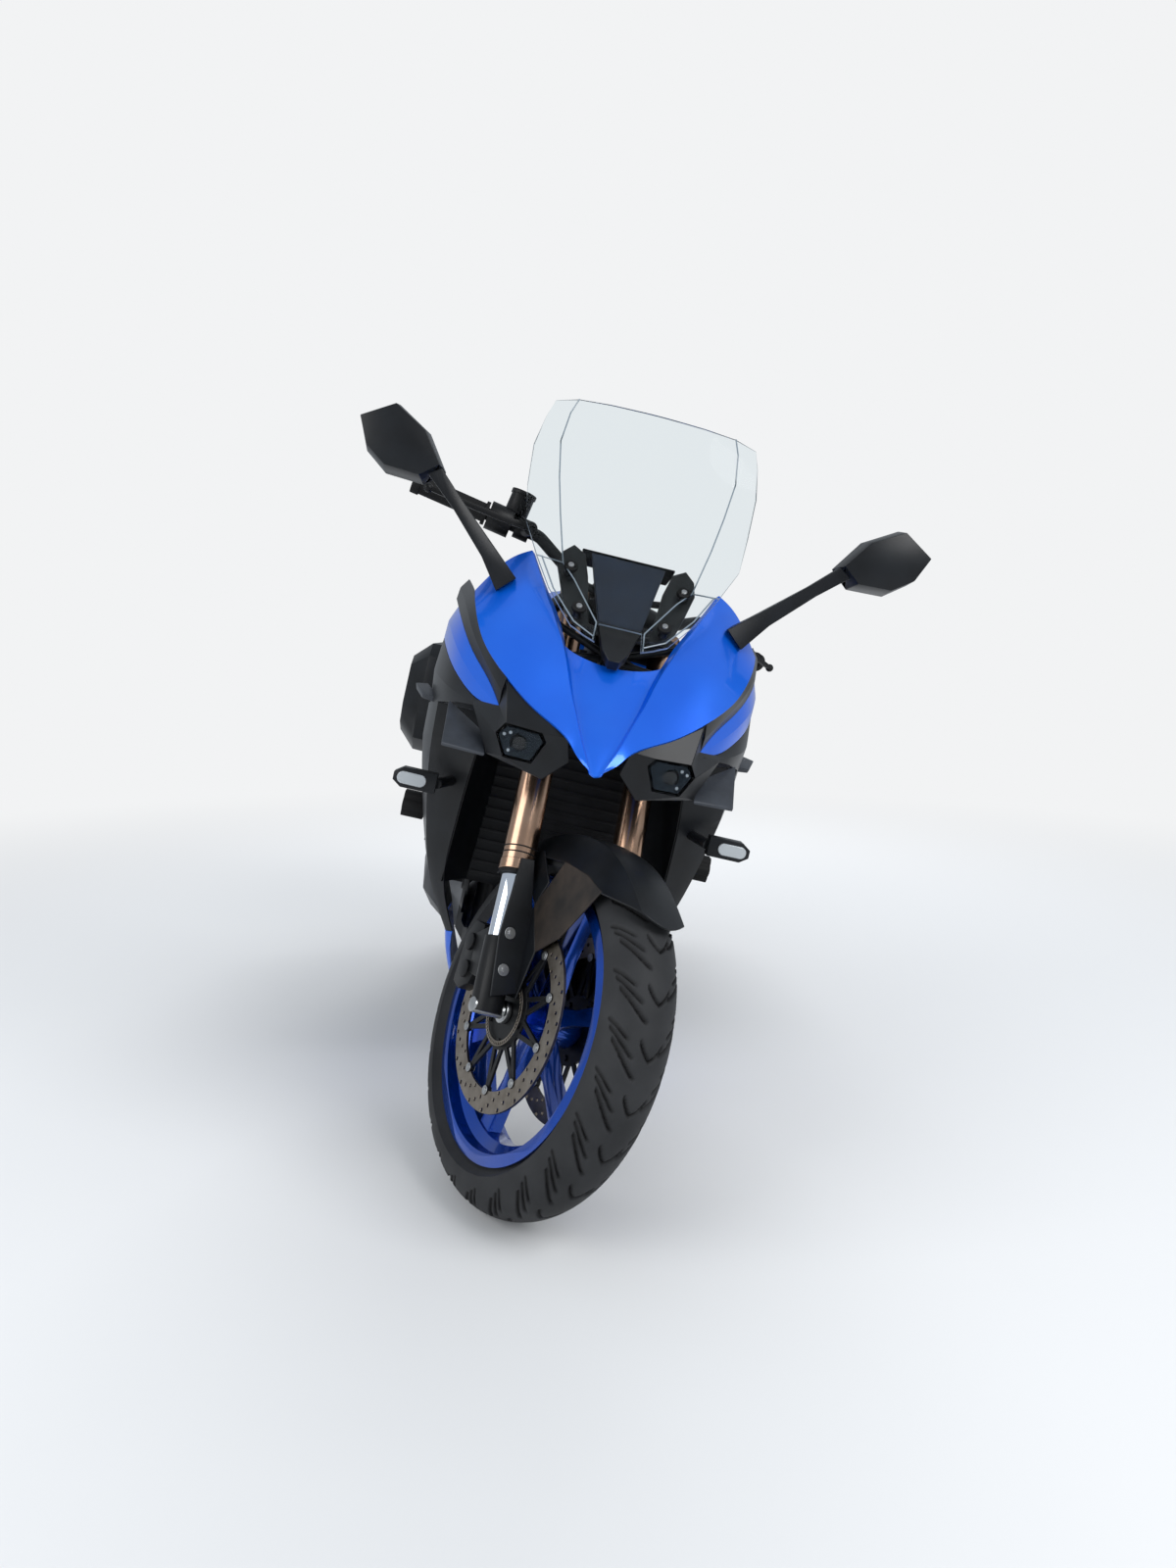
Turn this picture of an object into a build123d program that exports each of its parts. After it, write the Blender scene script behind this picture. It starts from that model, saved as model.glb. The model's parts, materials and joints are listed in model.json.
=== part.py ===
"""Sport touring motorcycle with a full fairing, a touring screen and a pair of side cases.

Millimetres. Every piece is laid out on the upright machine: +X forward, +Y to its left, +Z up, the rear
axle above X = 0 and the ground at Z = 0. At the end the steered pieces turn to the left stop and the whole
machine leans onto its side stand. The origin is then the middle of the bounding box, on the ground.
"""
from build123d import *
from math import acos, atan2, cos, degrees, hypot, pi, radians, sin, sqrt
import os

# Wheels and steering
WHEELBASE = 1460.0
RAKE = 25.0
FORK_OFFSET = 36.2
FORK_SPREAD = 104.0
STEER_LOCK = 26.5
LEAN = 12.9
FRONT_TYRE_R, FRONT_TYRE_W = 300.0, 120.0
REAR_TYRE_R, REAR_TYRE_W = 311.0, 190.0
FRONT_WIDEST_R, REAR_WIDEST_R = 244.0, 250.0
RIM_SEAT_R = 216.0
RIM_FLANGE = 14.0
FRONT_RIM_W, REAR_RIM_W = 98.0, 166.0
RIM_WALL = 5.0
SPOKES = 6
# Brakes
FRONT_DISC_R, FRONT_DISC_Y = 155.0, 64.0
REAR_DISC_R, REAR_DISC_Y = 120.0, -105.0
DISC_T = 5.0
DISC_GAP = 5.0
BOBBINS = 10
# Fork and bars
FORK_OUTER_R, FORK_INNER_R = 27.0, 21.5
CHROME_LOW, GOLD_LOW, FORK_TOP = 110.0, 222.0, 735.0
LOWER_YOKE, UPPER_YOKE = 545.0, 706.0
STEM_R, HEAD_R = 15.0, 38.0
AXLE_R = 12.0
BAR_R, GRIP_R = 11.0, 16.5
BAR_HALF = 400.0
# Frame and drive
PIVOT_X, PIVOT_Y, PIVOT_Z = 570.0, 140.0, 395.0
SPROCKET_X, SPROCKET_Z = 640.0, 400.0
FRONT_SPROCKET_R, REAR_SPROCKET_R = 38.0, 115.0
CHAIN_Y, CHAIN_W, CHAIN_H = 112.0, 18.0, 16.0
# Luggage
CASE_IN, CASE_SPLIT, CASE_OUT = 205.0, 318.0, 430.0
CASE_WALL = 4.0
HINGE_Z, HINGE_R = 514.0, 5.5
LID_OPEN = 80.0
# Side stand
STAND_R, STAND_EYE, STAND_BOLT_R = 13.0, 14.0, 6.0
STAND_SWING = 92.0
# Arm ends, the threaded bosses on them for a paddock stand, and the rear axle's end
ARM_OUT, ARM_WALL = 158.0, 30.0
SPOOL_X, SPOOL_Z, SPOOL_R, BOSS_R, BOSS_LONG = 34.0, 310.0, 4.0, 11.0, 20.0
AXLE_TIP = 176.0
# Clearances
RUN = 0.05
SEAT = 0.3
PANEL = 4.0
SEAM = 0.2
SCRAP = 1500.0

F = WHEELBASE


def line_up(p):
    return p if isinstance(p, Vector) else Vector(*p)


def rod(a, b, r, bore=0.0):
    """Round bar from a to b, or a tube where a bore is given."""
    a, b = line_up(a), line_up(b)
    length = (b - a).length
    plane = Plane(origin=a, z_dir=b - a)
    bar = plane * Cylinder(r, length, align=(Align.CENTER, Align.CENTER, Align.MIN))
    if bore:
        bar -= plane * Cylinder(bore, length, align=(Align.CENTER, Align.CENTER, Align.MIN))
    return bar


def cone(a, b, r1, r2):
    a, b = line_up(a), line_up(b)
    return Plane(origin=a, z_dir=b - a) * Cone(r1, r2, (b - a).length, align=(Align.CENTER, Align.CENTER, Align.MIN))


def tube(points, r, bend):
    """Bent tube along straight runs joined by arcs."""
    path = FilletPolyline(*points, radius=bend)
    return sweep(Plane(path @ 0, z_dir=path % 0) * Circle(r), path=path)


def side_plate(outline, y_low, y_high):
    """Flat plate whose outline is given as (x, z) and which stands between two values of y."""
    face = Plane(origin=(0, y_high, 0), x_dir=(1, 0, 0), z_dir=(0, -1, 0)) * Polygon(*outline, align=None)
    return extrude(face, amount=y_high - y_low, dir=(0, -1, 0))


def block(x, y, z):
    """Box between two corners, each given as a low and high pair."""
    size = (x[1] - x[0], y[1] - y[0], z[1] - z[0])
    return Pos((x[0] + x[1]) / 2, (y[0] + y[1]) / 2, (z[0] + z[1]) / 2) * Box(*size)


def bar_loft(stations):
    """Straight-sided beam through rectangles: x, middle y, middle z, width, height."""
    rings = []
    for x, y, z, w, h in stations:
        corners = [(x, y + a * w / 2, z + b * h / 2) for a, b in ((-1, -1), (1, -1), (1, 1), (-1, 1))]
        rings.append(Wire.make_polygon(corners, close=True))
    return Solid.make_loft(rings, ruled=True)


def ring_loft(rings):
    """Straight-sided body through flat outlines that have the same number of corners."""
    return Solid.make_loft([Wire.make_polygon(ring, close=True) for ring in rings], ruled=True)


def skin(rows, wall):
    """Sheet of constant thickness below a net of points. Each square of the net is two triangles."""
    net = [[line_up(p) for p in row] for row in rows]
    rows_n, cols_n = len(net), len(net[0])
    normals = [[Vector(0, 0, 0)] * cols_n for _ in net]
    corners = []
    for i in range(rows_n - 1):
        for j in range(cols_n - 1):
            for tri in (((i, j), (i + 1, j), (i + 1, j + 1)), ((i, j), (i + 1, j + 1), (i, j + 1))):
                a, b, c = (net[k][m] for k, m in tri)
                normal = (b - a).cross(c - a).normalized()
                for k, m in tri:
                    normals[k][m] = normals[k][m] + normal
                corners.append(tri)
    back = [[net[i][j] - normals[i][j].normalized() * wall for j in range(cols_n)] for i in range(rows_n)]
    faces = []
    for tri in corners:
        faces.append(flat([net[k][m] for k, m in tri]))
        faces.append(flat([back[k][m] for k, m in reversed(tri)]))
    edge = [(0, j) for j in range(cols_n)] + [(i, cols_n - 1) for i in range(1, rows_n)]
    edge += [(rows_n - 1, j) for j in range(cols_n - 2, -1, -1)] + [(i, 0) for i in range(rows_n - 2, 0, -1)]
    for (i, j), (k, m) in zip(edge, edge[1:] + edge[:1]):
        faces.append(flat([net[i][j], back[i][j], back[k][m]]))
        faces.append(flat([net[i][j], back[k][m], net[k][m]]))
    return Solid(Shell(faces))


def flat(points):
    return Face(Wire.make_polygon(points, close=True))


def hull_between(face, back):
    """Closed body between two loops of corners that need not be flat."""
    face, back = [line_up(p) for p in face], [line_up(p) for p in back]

    def middle(loop):
        return sum(loop, Vector(0, 0, 0)) * (1 / len(loop))

    faces = []
    count = len(face)
    for k in range(count):
        a, b = face[k], face[(k + 1) % count]
        c, d = back[k], back[(k + 1) % count]
        faces.append(flat([a, b, middle(face)]))
        faces.append(flat([d, c, middle(back)]))
        faces.append(flat([a, c, d]))
        faces.append(flat([a, d, b]))
    return Solid(Shell(faces))


def turned(profile, centre, arc=360.0, start=0.0):
    """Body turned about a line along Y through centre. The profile is given as (radius, y)."""
    face = Plane.XZ * Polygon(*[(r, y) for r, y in profile], align=None)
    body = revolve(face, axis=Axis.Z, revolution_arc=arc)
    return Pos(*centre) * Rot(-90, 0, 0) * Rot(0, 0, start) * body


def left_right(shape):
    """The piece and its mirror image across the machine's middle plane."""
    return [shape, mirror(shape, about=Plane.XZ)]


def mirrored(points):
    return [(x, -y, z) for x, y, z in points]


# Steering axis and places along the fork
UP = Vector(-sin(radians(RAKE)), 0, cos(radians(RAKE)))
AHEAD = Vector(cos(radians(RAKE)), 0, sin(radians(RAKE)))
FRONT_AXLE = Vector(WHEELBASE, 0, FRONT_TYRE_R)
REAR_AXLE = Vector(0, 0, REAR_TYRE_R)
AXIS_FOOT = FRONT_AXLE - AHEAD * FORK_OFFSET


def on_fork(up, ahead, y):
    """Point a distance up the fork legs from the front axle and a distance ahead of them."""
    return FRONT_AXLE + UP * up + AHEAD * ahead + Vector(0, y, 0)


def on_axis(up):
    return AXIS_FOOT + UP * up


def fork_plate(outline, y_low, y_high):
    """Plate along the fork: the outline is given as (ahead of the legs, up the legs)."""
    plane = Plane(origin=FRONT_AXLE + Vector(0, y_high, 0), x_dir=AHEAD, z_dir=(0, -1, 0))
    return extrude(plane * Polygon(*outline, align=None), amount=y_high - y_low, dir=(0, -1, 0))


nodes = {}


def solids_of(shape):
    if isinstance(shape, list):
        return [solid for one in shape for solid in solids_of(one)]
    return list(shape.solids())


def piece(name, *shapes):
    nodes[name] = solids_of(list(shapes))


# Wheels

def tyre_profile(radius, width, widest, rim_w):
    """Outline of a tyre's section: an oval tread in flats, the sidewalls down to the beads, and the inside."""
    tread = [(widest + (radius - widest) * cos(radians(a)), width / 2 * sin(radians(a))) for a in range(-90, 91, 18)]
    bead = rim_w / 2 - 7.5
    seat = RIM_SEAT_R + SEAT
    return [(seat, -bead), (RIM_SEAT_R + RIM_FLANGE, -bead)] + tread + [
        (RIM_SEAT_R + RIM_FLANGE, bead), (seat, bead), (seat, bead - 12), (widest, width / 2 - 10), (radius - 12, 0),
        (widest, 10 - width / 2), (seat, 12 - bead)]


def rim(centre, rim_w, hub_r, hub_half, spoke_t):
    half = rim_w / 2
    lip = RIM_SEAT_R + RIM_FLANGE
    inner = RIM_SEAT_R - RIM_WALL
    well = RIM_SEAT_R - 17
    profile = [(inner, -half), (lip, -half), (lip, -half + 5), (RIM_SEAT_R, -half + 7), (RIM_SEAT_R, -half + 22),
               (well, -half + 32), (well, half - 32), (RIM_SEAT_R, half - 22), (RIM_SEAT_R, half - 7), (lip, half - 5),
               (lip, half), (inner, half), (inner - 2, half - 20), (well - RIM_WALL, half - 31),
               (well - RIM_WALL, 31 - half), (inner - 2, 20 - half)]
    body = turned(profile, centre)
    hub = turned([(AXLE_R + RUN, -hub_half), (hub_r - 6, -hub_half), (hub_r, -hub_half + 14), (hub_r, hub_half - 14),
                  (hub_r - 6, hub_half), (AXLE_R + RUN, hub_half)], centre)
    body += hub
    for k in range(SPOKES):
        twist = 360 / SPOKES * k
        lean_in = 9 if k % 2 else -9
        root, tip = hub_r - 4, well - RIM_WALL + 2
        rings = []
        for r, side, w, t in ((root, 0, 34, spoke_t * 1.25), ((root + tip) / 2, lean_in / 2, 23, spoke_t),
                              (tip, lean_in, 34, spoke_t * 1.1)):
            rings.append([(side - w / 2, -t / 2, r), (side + w / 2, -t / 2, r), (side + w / 2 - 3, t / 2, r),
                          (side - w / 2 + 3, t / 2, r)])
        spoke = Pos(*centre) * Rot(0, twist, 0) * ring_loft(rings)
        body += spoke
    return body


def disc(centre, radius, y, ring_w, arms, hub_y):
    """Brake disc on its carrier: a flat ring, small bobbins and pairs of arms to a boss against the hub."""
    low, high = y - DISC_T / 2, y + DISC_T / 2
    ring = turned([(radius - ring_w, low), (radius, low), (radius, high), (radius - ring_w, high)], centre)
    boss_low, boss_high = min(low, hub_y), max(high, hub_y)
    carrier = turned([(20, boss_low), (62, boss_low), (62, boss_high), (20, boss_high)], centre)
    middle, reach = (radius - ring_w + 60) / 2, radius - ring_w - 46
    for k in range(arms):
        place = Pos(centre[0], y, centre[2]) * Rot(0, 360 / arms * k, 0)
        for side in (-1, 1):
            carrier += place * Pos(side * 11.7, 0, 0) * Rot(0, side * 3.3, 0) * Pos(0, 0, middle) * Box(9, DISC_T - 1, reach)
        edge = radius - ring_w + 1
        carrier += place * rod((0, -DISC_T / 2 - 1.5, edge), (0, DISC_T / 2 + 1.5, edge), 8)
    return ring + carrier


HUB_HALF = FRONT_DISC_Y - DISC_T / 2
REAR_HUB_HALF = 98.0
front = tuple(FRONT_AXLE)
rear = tuple(REAR_AXLE)
piece("front_tyre", turned(tyre_profile(FRONT_TYRE_R, FRONT_TYRE_W, FRONT_WIDEST_R, FRONT_RIM_W), front))
piece("front_rim", rim(front, FRONT_RIM_W, 34, HUB_HALF, 24))
piece("front_discs", [disc(front, FRONT_DISC_R, side * FRONT_DISC_Y, 34, BOBBINS, side * HUB_HALF) for side in (-1, 1)])
piece("rear_tyre", turned(tyre_profile(REAR_TYRE_R, REAR_TYRE_W, REAR_WIDEST_R, REAR_RIM_W), rear))
piece("rear_rim", rim(rear, REAR_RIM_W, 42, REAR_HUB_HALF, 34))
piece("rear_disc", disc(rear, REAR_DISC_R, REAR_DISC_Y, 30, 5, -REAR_HUB_HALF))


def sprocket():
    teeth = 44
    tip, root = REAR_SPROCKET_R - CHAIN_H / 2 - 3, REAR_SPROCKET_R - CHAIN_H / 2 - 9
    outline = []
    for k in range(teeth):
        for share, r in ((0.0, root), (0.35, tip), (0.6, tip), (0.95, root)):
            a = 2 * pi * (k + share) / teeth
            outline.append((r * cos(a), rear[2] + r * sin(a)))
    plate = side_plate(outline, CHAIN_Y - 3.5, CHAIN_Y + 3.5)
    plate -= turned([(0, CHAIN_Y - 5), (48, CHAIN_Y - 5), (48, CHAIN_Y + 5), (0, CHAIN_Y + 5)], rear)
    for k in range(8):
        a = pi / 4 * k
        x, z = 76 * cos(a), rear[2] + 76 * sin(a)
        plate -= rod((x, CHAIN_Y - 5, z), (x, CHAIN_Y + 5, z), 11)
    hub = turned([(AXLE_R + RUN, REAR_HUB_HALF), (62, REAR_HUB_HALF), (62, CHAIN_Y - 3.5), (48, CHAIN_Y - 3.5), (48, CHAIN_Y + 3.5),
                  (AXLE_R + RUN, CHAIN_Y + 3.5)], rear)
    return plate + hub


piece("rear_sprocket", sprocket())

# Fork, yokes and bars

FOOT_OUT = FORK_SPREAD + FORK_OUTER_R - 1


def fork_bottom():
    foot = rod(on_fork(-8, 0, FORK_SPREAD), on_fork(CHROME_LOW, 0, FORK_SPREAD), FORK_OUTER_R - 1)
    foot += rod(on_fork(0, 0, FORK_SPREAD - 26), on_fork(0, 0, FOOT_OUT), 26)
    ear = fork_plate([(-96, 60), (-96, 126), (-52, 136), (-18, 110), (-18, 40), (-50, 46)],
                     FORK_SPREAD - 20, FORK_SPREAD - 6)
    foot += ear
    return foot - rod(on_fork(0, 0, 40), on_fork(0, 0, 160), AXLE_R + RUN)


def yoke(up, half_t, reach):
    """Clamp plate between the two legs, bored for them."""
    plane = Plane(origin=on_axis(up) - UP * half_t, x_dir=AHEAD, z_dir=UP)
    outline = Polygon((reach[0], -60), (-4, -FORK_SPREAD - 34), (64, -FORK_SPREAD - 34), (76, -70), (reach[1], 0),
                      (76, 70), (64, FORK_SPREAD + 34), (-4, FORK_SPREAD + 34), (reach[0], 60), align=None)
    plate = extrude(plane * outline, amount=2 * half_t, dir=UP)
    for side in (-1, 1):
        y = side * FORK_SPREAD
        plate -= rod(on_fork(up - 40, 0, y), on_fork(up + 40, 0, y), FORK_OUTER_R + RUN)
    return plate


piece("fork_bottoms", left_right(fork_bottom()))
piece("fork_inner", left_right(rod(on_fork(CHROME_LOW + SEAT, 0, FORK_SPREAD), on_fork(GOLD_LOW - SEAT, 0, FORK_SPREAD),
                                   FORK_INNER_R)))
gold = rod(on_fork(GOLD_LOW, 0, FORK_SPREAD), on_fork(FORK_TOP, 0, FORK_SPREAD), FORK_OUTER_R)
gold += rod(on_fork(FORK_TOP, 0, FORK_SPREAD), on_fork(FORK_TOP + 12, 0, FORK_SPREAD), 17)
piece("fork_outer", left_right(gold))
piece("yokes", yoke(LOWER_YOKE, 16, (-30, 70)) + yoke(UPPER_YOKE, 11, (-30, 62))
      + rod(on_axis(LOWER_YOKE - 20), on_axis(UPPER_YOKE + 14), STEM_R))
axle = rod(on_fork(0, 0, -FOOT_OUT), on_fork(0, 0, FOOT_OUT + 4), AXLE_R)
axle += rod(on_fork(0, 0, FOOT_OUT + SEAT), on_fork(0, 0, FOOT_OUT + 6), 16)
spacer = rod(on_fork(0, 0, FRONT_DISC_Y + DISC_T / 2 + 1), on_fork(0, 0, FORK_SPREAD - FORK_OUTER_R - 0.5), 18, AXLE_R)
piece("front_axle", axle + spacer + mirror(spacer, about=Plane.XZ))


def front_caliper():
    """Radially mounted caliper: two halves and a bridge round the disc, with the pistons' bosses outside."""
    inner, outer = FRONT_DISC_Y - DISC_T / 2 - DISC_GAP, FRONT_DISC_Y + DISC_T / 2 + DISC_GAP
    shape = [(-150, 48), (-138, 128), (-112, 150), (-80, 140), (-78, 66), (-96, 42), (-128, 34)]
    body = fork_plate(shape, inner - 22, outer + 24)
    slot = turned([(0, inner), (FRONT_DISC_R + DISC_GAP, inner), (FRONT_DISC_R + DISC_GAP, outer), (0, outer)], front)
    body -= slot
    for up in (66, 112):
        body += rod(on_fork(up, -112, outer + 23), on_fork(up, -112, outer + 30), 15)
    return body


piece("front_calipers", left_right(front_caliper()))


def fender():
    """Front mudguard: a channel over the tyre, and a plate down each fork leg."""
    clear = FRONT_TYRE_R + 13
    half = FORK_SPREAD - FORK_OUTER_R - 0.7
    profile = [(clear - 40, -half), (clear - 8, -half), (clear + 3, -half + 22), (clear + 9, 0), (clear + 3, half - 22),
               (clear - 8, half), (clear - 40, half), (clear - 40, half - 3), (clear - 10, half - 3),
               (clear, half - 24), (clear + 6, 0), (clear, 24 - half), (clear - 10, 3 - half), (clear - 40, 3 - half)]
    body = turned(profile, front, arc=96, start=-144)
    top = clear - 51
    plate = [(34, 30), (-8, 26), (-10, 66), (30, 122), (42, top - 22), (92, top), (120, top), (92, top - 112), (56, 80)]
    cheeks = fork_plate(plate, half - 3, half)
    for up in (48, 92):
        cheeks += rod(on_fork(up, 0, half - 1), on_fork(up, 0, FORK_SPREAD - FORK_OUTER_R + 6), 9)
    body += cheeks
    body += mirror(cheeks, about=Plane.XZ)
    return body


piece("front_fender", fender())

BAR_FOOT = on_axis(UPPER_YOKE) + AHEAD * 18
BAR_Z = BAR_FOOT.Z + 52
BAR_X = BAR_FOOT.X - 8


def bar_points():
    """Handlebar's line from the clamps to the left end: x, y, z."""
    return [(BAR_X, 0, BAR_Z), (BAR_X, 92, BAR_Z), (BAR_X - 42, 188, BAR_Z + 48), (BAR_X - 118, BAR_HALF, BAR_Z + 42)]


def handlebar():
    half = bar_points()
    whole = mirrored(list(reversed(half[1:]))) + half[1:]
    bar = tube(whole, BAR_R, 34)
    for side in (-1, 1):
        foot = Vector(BAR_FOOT.X, side * 52, BAR_FOOT.Z) + UP * 11.3
        top = Vector(BAR_X, side * 52, BAR_Z)
        riser = rod(foot, top, 15) + rod((BAR_X, side * 52 - 15, BAR_Z), (BAR_X, side * 52 + 15, BAR_Z), 21)
        bar += riser
    return bar


def along_bar(share):
    """Point on the outer run of the left bar, and the run's direction."""
    a, b = (Vector(*p) for p in bar_points()[2:])
    return a + (b - a) * share


piece("handlebar", handlebar())
grip = rod(along_bar(0.44), along_bar(0.985), GRIP_R, BAR_R)
grip += rod(along_bar(0.985), along_bar(1.05), 19) + rod(along_bar(0.44), along_bar(0.47), 21, BAR_R)
piece("grips", left_right(grip))


def controls():
    """Switch housing, lever bracket and lever at the left grip."""
    house = rod(along_bar(0.24), along_bar(0.43), 25, BAR_R)
    perch = rod(along_bar(0.08), along_bar(0.2), 19, BAR_R)
    hinge = along_bar(0.16) + Vector(46, 0, 2)
    perch += rod(along_bar(0.14) + Vector(12, 0, 0), hinge, 12)
    knee = along_bar(0.45) + Vector(62, 0, -4)
    tip = along_bar(1.0) + Vector(58, 0, -6)
    lever = ring_loft([[hinge + Vector(-8, 0, -6), hinge + Vector(8, 0, -6), hinge + Vector(8, 0, 6), hinge + Vector(-8, 0, 6)],
                       [knee + Vector(-8, 0, -5), knee + Vector(7, 0, -5), knee + Vector(7, 0, 5), knee + Vector(-8, 0, 5)],
                       [tip + Vector(-5, 0, -4), tip + Vector(5, 0, -4), tip + Vector(5, 0, 4), tip + Vector(-5, 0, 4)]])
    ball = Pos(*tip) * Sphere(8)
    return [house, perch + lever + ball]


house, lever = controls()
cup = along_bar(0.2) + Vector(-24, 0, 22)
cup = Vector(cup.X, -cup.Y, cup.Z)
reservoir = rod(cup, cup + Vector(0, 0, 34), 21) + rod(cup + Vector(0, 0, 34), cup + Vector(0, 0, 41), 23)
reservoir += block((cup.X - 9, cup.X + 9), (cup.Y - 9, cup.Y + 9), (cup.Z - 14, cup.Z))
piece("controls", house + lever, mirror(house + lever, about=Plane.XZ) + reservoir)

# Frame, swingarm and stand

ENGINE = PIVOT_X + 30
ARM_END = 62.0
# x, middle y, middle z, width, height
SPAR = [(F - 292, 30, 864, 30, 56), (F - 352, 58, 848, 30, 70), (F - 430, 124, 836, 34, 96), (F - 560, 152, 745, 34, 108),
        (PIVOT_X + 190, 152, 650, 34, 108), (PIVOT_X + 70, 148, 545, 34, 112), (PIVOT_X + 20, PIVOT_Y, 450, 30, 150),
        (PIVOT_X - 14, PIVOT_Y, PIVOT_Z, 30, 170)]
# x, middle y, middle z, width, height
ARM = [(PIVOT_X + 22, 78, PIVOT_Z, 30, 54), (PIVOT_X - 60, 84, PIVOT_Z - 4, 40, 56), (200, 135, 350, 32, 74),
       (ARM_END, 143, 324, 30, 60)]
STAND_PIVOT = Vector(PIVOT_X - 8, PIVOT_Y + 42, 236)
STAND_LINE = Vector(0, 0.7625, 0.6394).normalized()


def spine():
    side = bar_loft(SPAR)
    side -= rod((PIVOT_X, 60, PIVOT_Z), (PIVOT_X, 180, PIVOT_Z), AXLE_R + RUN)
    body = side + mirror(side, about=Plane.XZ)
    body += side_plate([(PIVOT_X - 28, 312), (PIVOT_X - 30, 212), (PIVOT_X + 16, 212), (PIVOT_X + 6, 312)],
                       PIVOT_Y - 14, PIVOT_Y + 14)
    body += rod(STAND_PIVOT - STAND_LINE * 44, STAND_PIVOT - STAND_LINE * (STAND_EYE + SEAT), 20)
    body += rod(STAND_PIVOT - STAND_LINE * 44, STAND_PIVOT + STAND_LINE * (STAND_EYE + 8), STAND_BOLT_R)
    body += rod(STAND_PIVOT + STAND_LINE * (STAND_EYE + SEAT), STAND_PIVOT + STAND_LINE * (STAND_EYE + 8), 11)
    low, high = on_axis(LOWER_YOKE + 22), on_axis(UPPER_YOKE - 17)
    body += rod(low, high, HEAD_R)
    body -= rod(on_axis(LOWER_YOKE), on_axis(UPPER_YOKE), STEM_R + RUN)
    body += rod((PIVOT_X + 60, -PIVOT_Y, 495), (PIVOT_X + 60, PIVOT_Y, 495), 18)
    body += side_plate([(PIVOT_X + 44, 490), (PIVOT_X + 76, 490), (PIVOT_X + 34, 614), (PIVOT_X + 6, 606),
                        (PIVOT_X + 8, 588)], -15, 15)
    for side in (-1, 1):
        body += rod((ENGINE + 272, side * 128, 682), (ENGINE + 272, side * 140, 700), 14)
    body += rod((PIVOT_X - 6, -140, 322), (PIVOT_X - 6, 140, 322), 9)
    return body


piece("frame", spine())
PLATE_OUT = PIVOT_Y + 15
pivot_bolt = rod((PIVOT_X, -PLATE_OUT - 8, PIVOT_Z), (PIVOT_X, PLATE_OUT + 8, PIVOT_Z), AXLE_R)
for side in (-1, 1):
    pivot_bolt += rod((PIVOT_X, side * (PLATE_OUT + SEAT), PIVOT_Z), (PIVOT_X, side * (PLATE_OUT + 10), PIVOT_Z), 19)
    pivot_bolt += rod((PIVOT_X, side * (98 + SEAT), PIVOT_Z), (PIVOT_X, side * (PIVOT_Y - 15 - SEAT), PIVOT_Z), 17)


def swingarm():
    arm = bar_loft(ARM)
    body = arm + mirror(arm, about=Plane.XZ)
    body += bar_loft([(PIVOT_X - 150, 0, 386, 214, 62), (PIVOT_X - 205, 0, 380, 232, 62)])
    body += side_plate([(PIVOT_X - 196, 356), (PIVOT_X - 152, 356), (PIVOT_X - 112, 300), (PIVOT_X - 140, 284)], -15, 15)
    body += side_plate([(330, 462), (200, 470), (60, 456), (60, 446), (200, 458), (330, 452)], 100, 140)
    body += side_plate([(300, 370), (330, 370), (330, 456), (300, 456)], 125, 133)
    body += rod((PIVOT_X, -98, PIVOT_Z), (PIVOT_X, 98, PIVOT_Z), 26)
    return body - rod((PIVOT_X, -200, PIVOT_Z), (PIVOT_X, 200, PIVOT_Z), AXLE_R + RUN)


def arm_end():
    """Forged end of the left arm, which holds the axle."""
    end = side_plate([(ARM_END, 294), (ARM_END, 354), (-20, 340), (-62, 330), (-62, 292), (-20, 286)],
                     ARM_OUT - ARM_WALL, ARM_OUT)
    return end - rod((0, 100, rear[2]), (0, 200, rear[2]), AXLE_R + RUN)


# A threaded boss on the outer face of each arm end
boss = rod((SPOOL_X, ARM_OUT, SPOOL_Z), (SPOOL_X, ARM_OUT + BOSS_LONG, SPOOL_Z), BOSS_R, SPOOL_R)
piece("swingarm", swingarm(), left_right(boss))
piece("arm_ends", left_right(arm_end()))
nut = [rod((0, side * (ARM_OUT + SEAT), rear[2]), (0, side * (ARM_OUT + 12), rear[2]), 17) for side in (-1, 1)]
rear_axle = rod((0, -AXLE_TIP, rear[2]), (0, AXLE_TIP, rear[2]), AXLE_R) + nut[0] + nut[1]
rear_axle += rod((0, CHAIN_Y + 4.5, rear[2]), (0, 128, rear[2]), 19, AXLE_R)
rear_axle += rod((0, -128, rear[2]), (0, REAR_DISC_Y - DISC_T / 2 - 1, rear[2]), 19, AXLE_R)
piece("axle_bolts", pivot_bolt, rear_axle)
# Shock absorber between the engine and the rear wheel
shock_low, shock_high = Vector(PIVOT_X - 130, 0, 300), Vector(PIVOT_X + 20, 0, 600)
shock = rod(shock_low, shock_high, 14)
shock_dir = (shock_high - shock_low).normalized()
for k in range(7):
    coil = shock_low + shock_dir * (70 + 26 * k)
    shock += Plane(origin=coil, z_dir=shock_dir) * Torus(30, 6.5)
    shock += rod(coil - shock_dir * 3, coil + shock_dir * 3, 30)
piece("rear_shock", shock)


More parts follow.
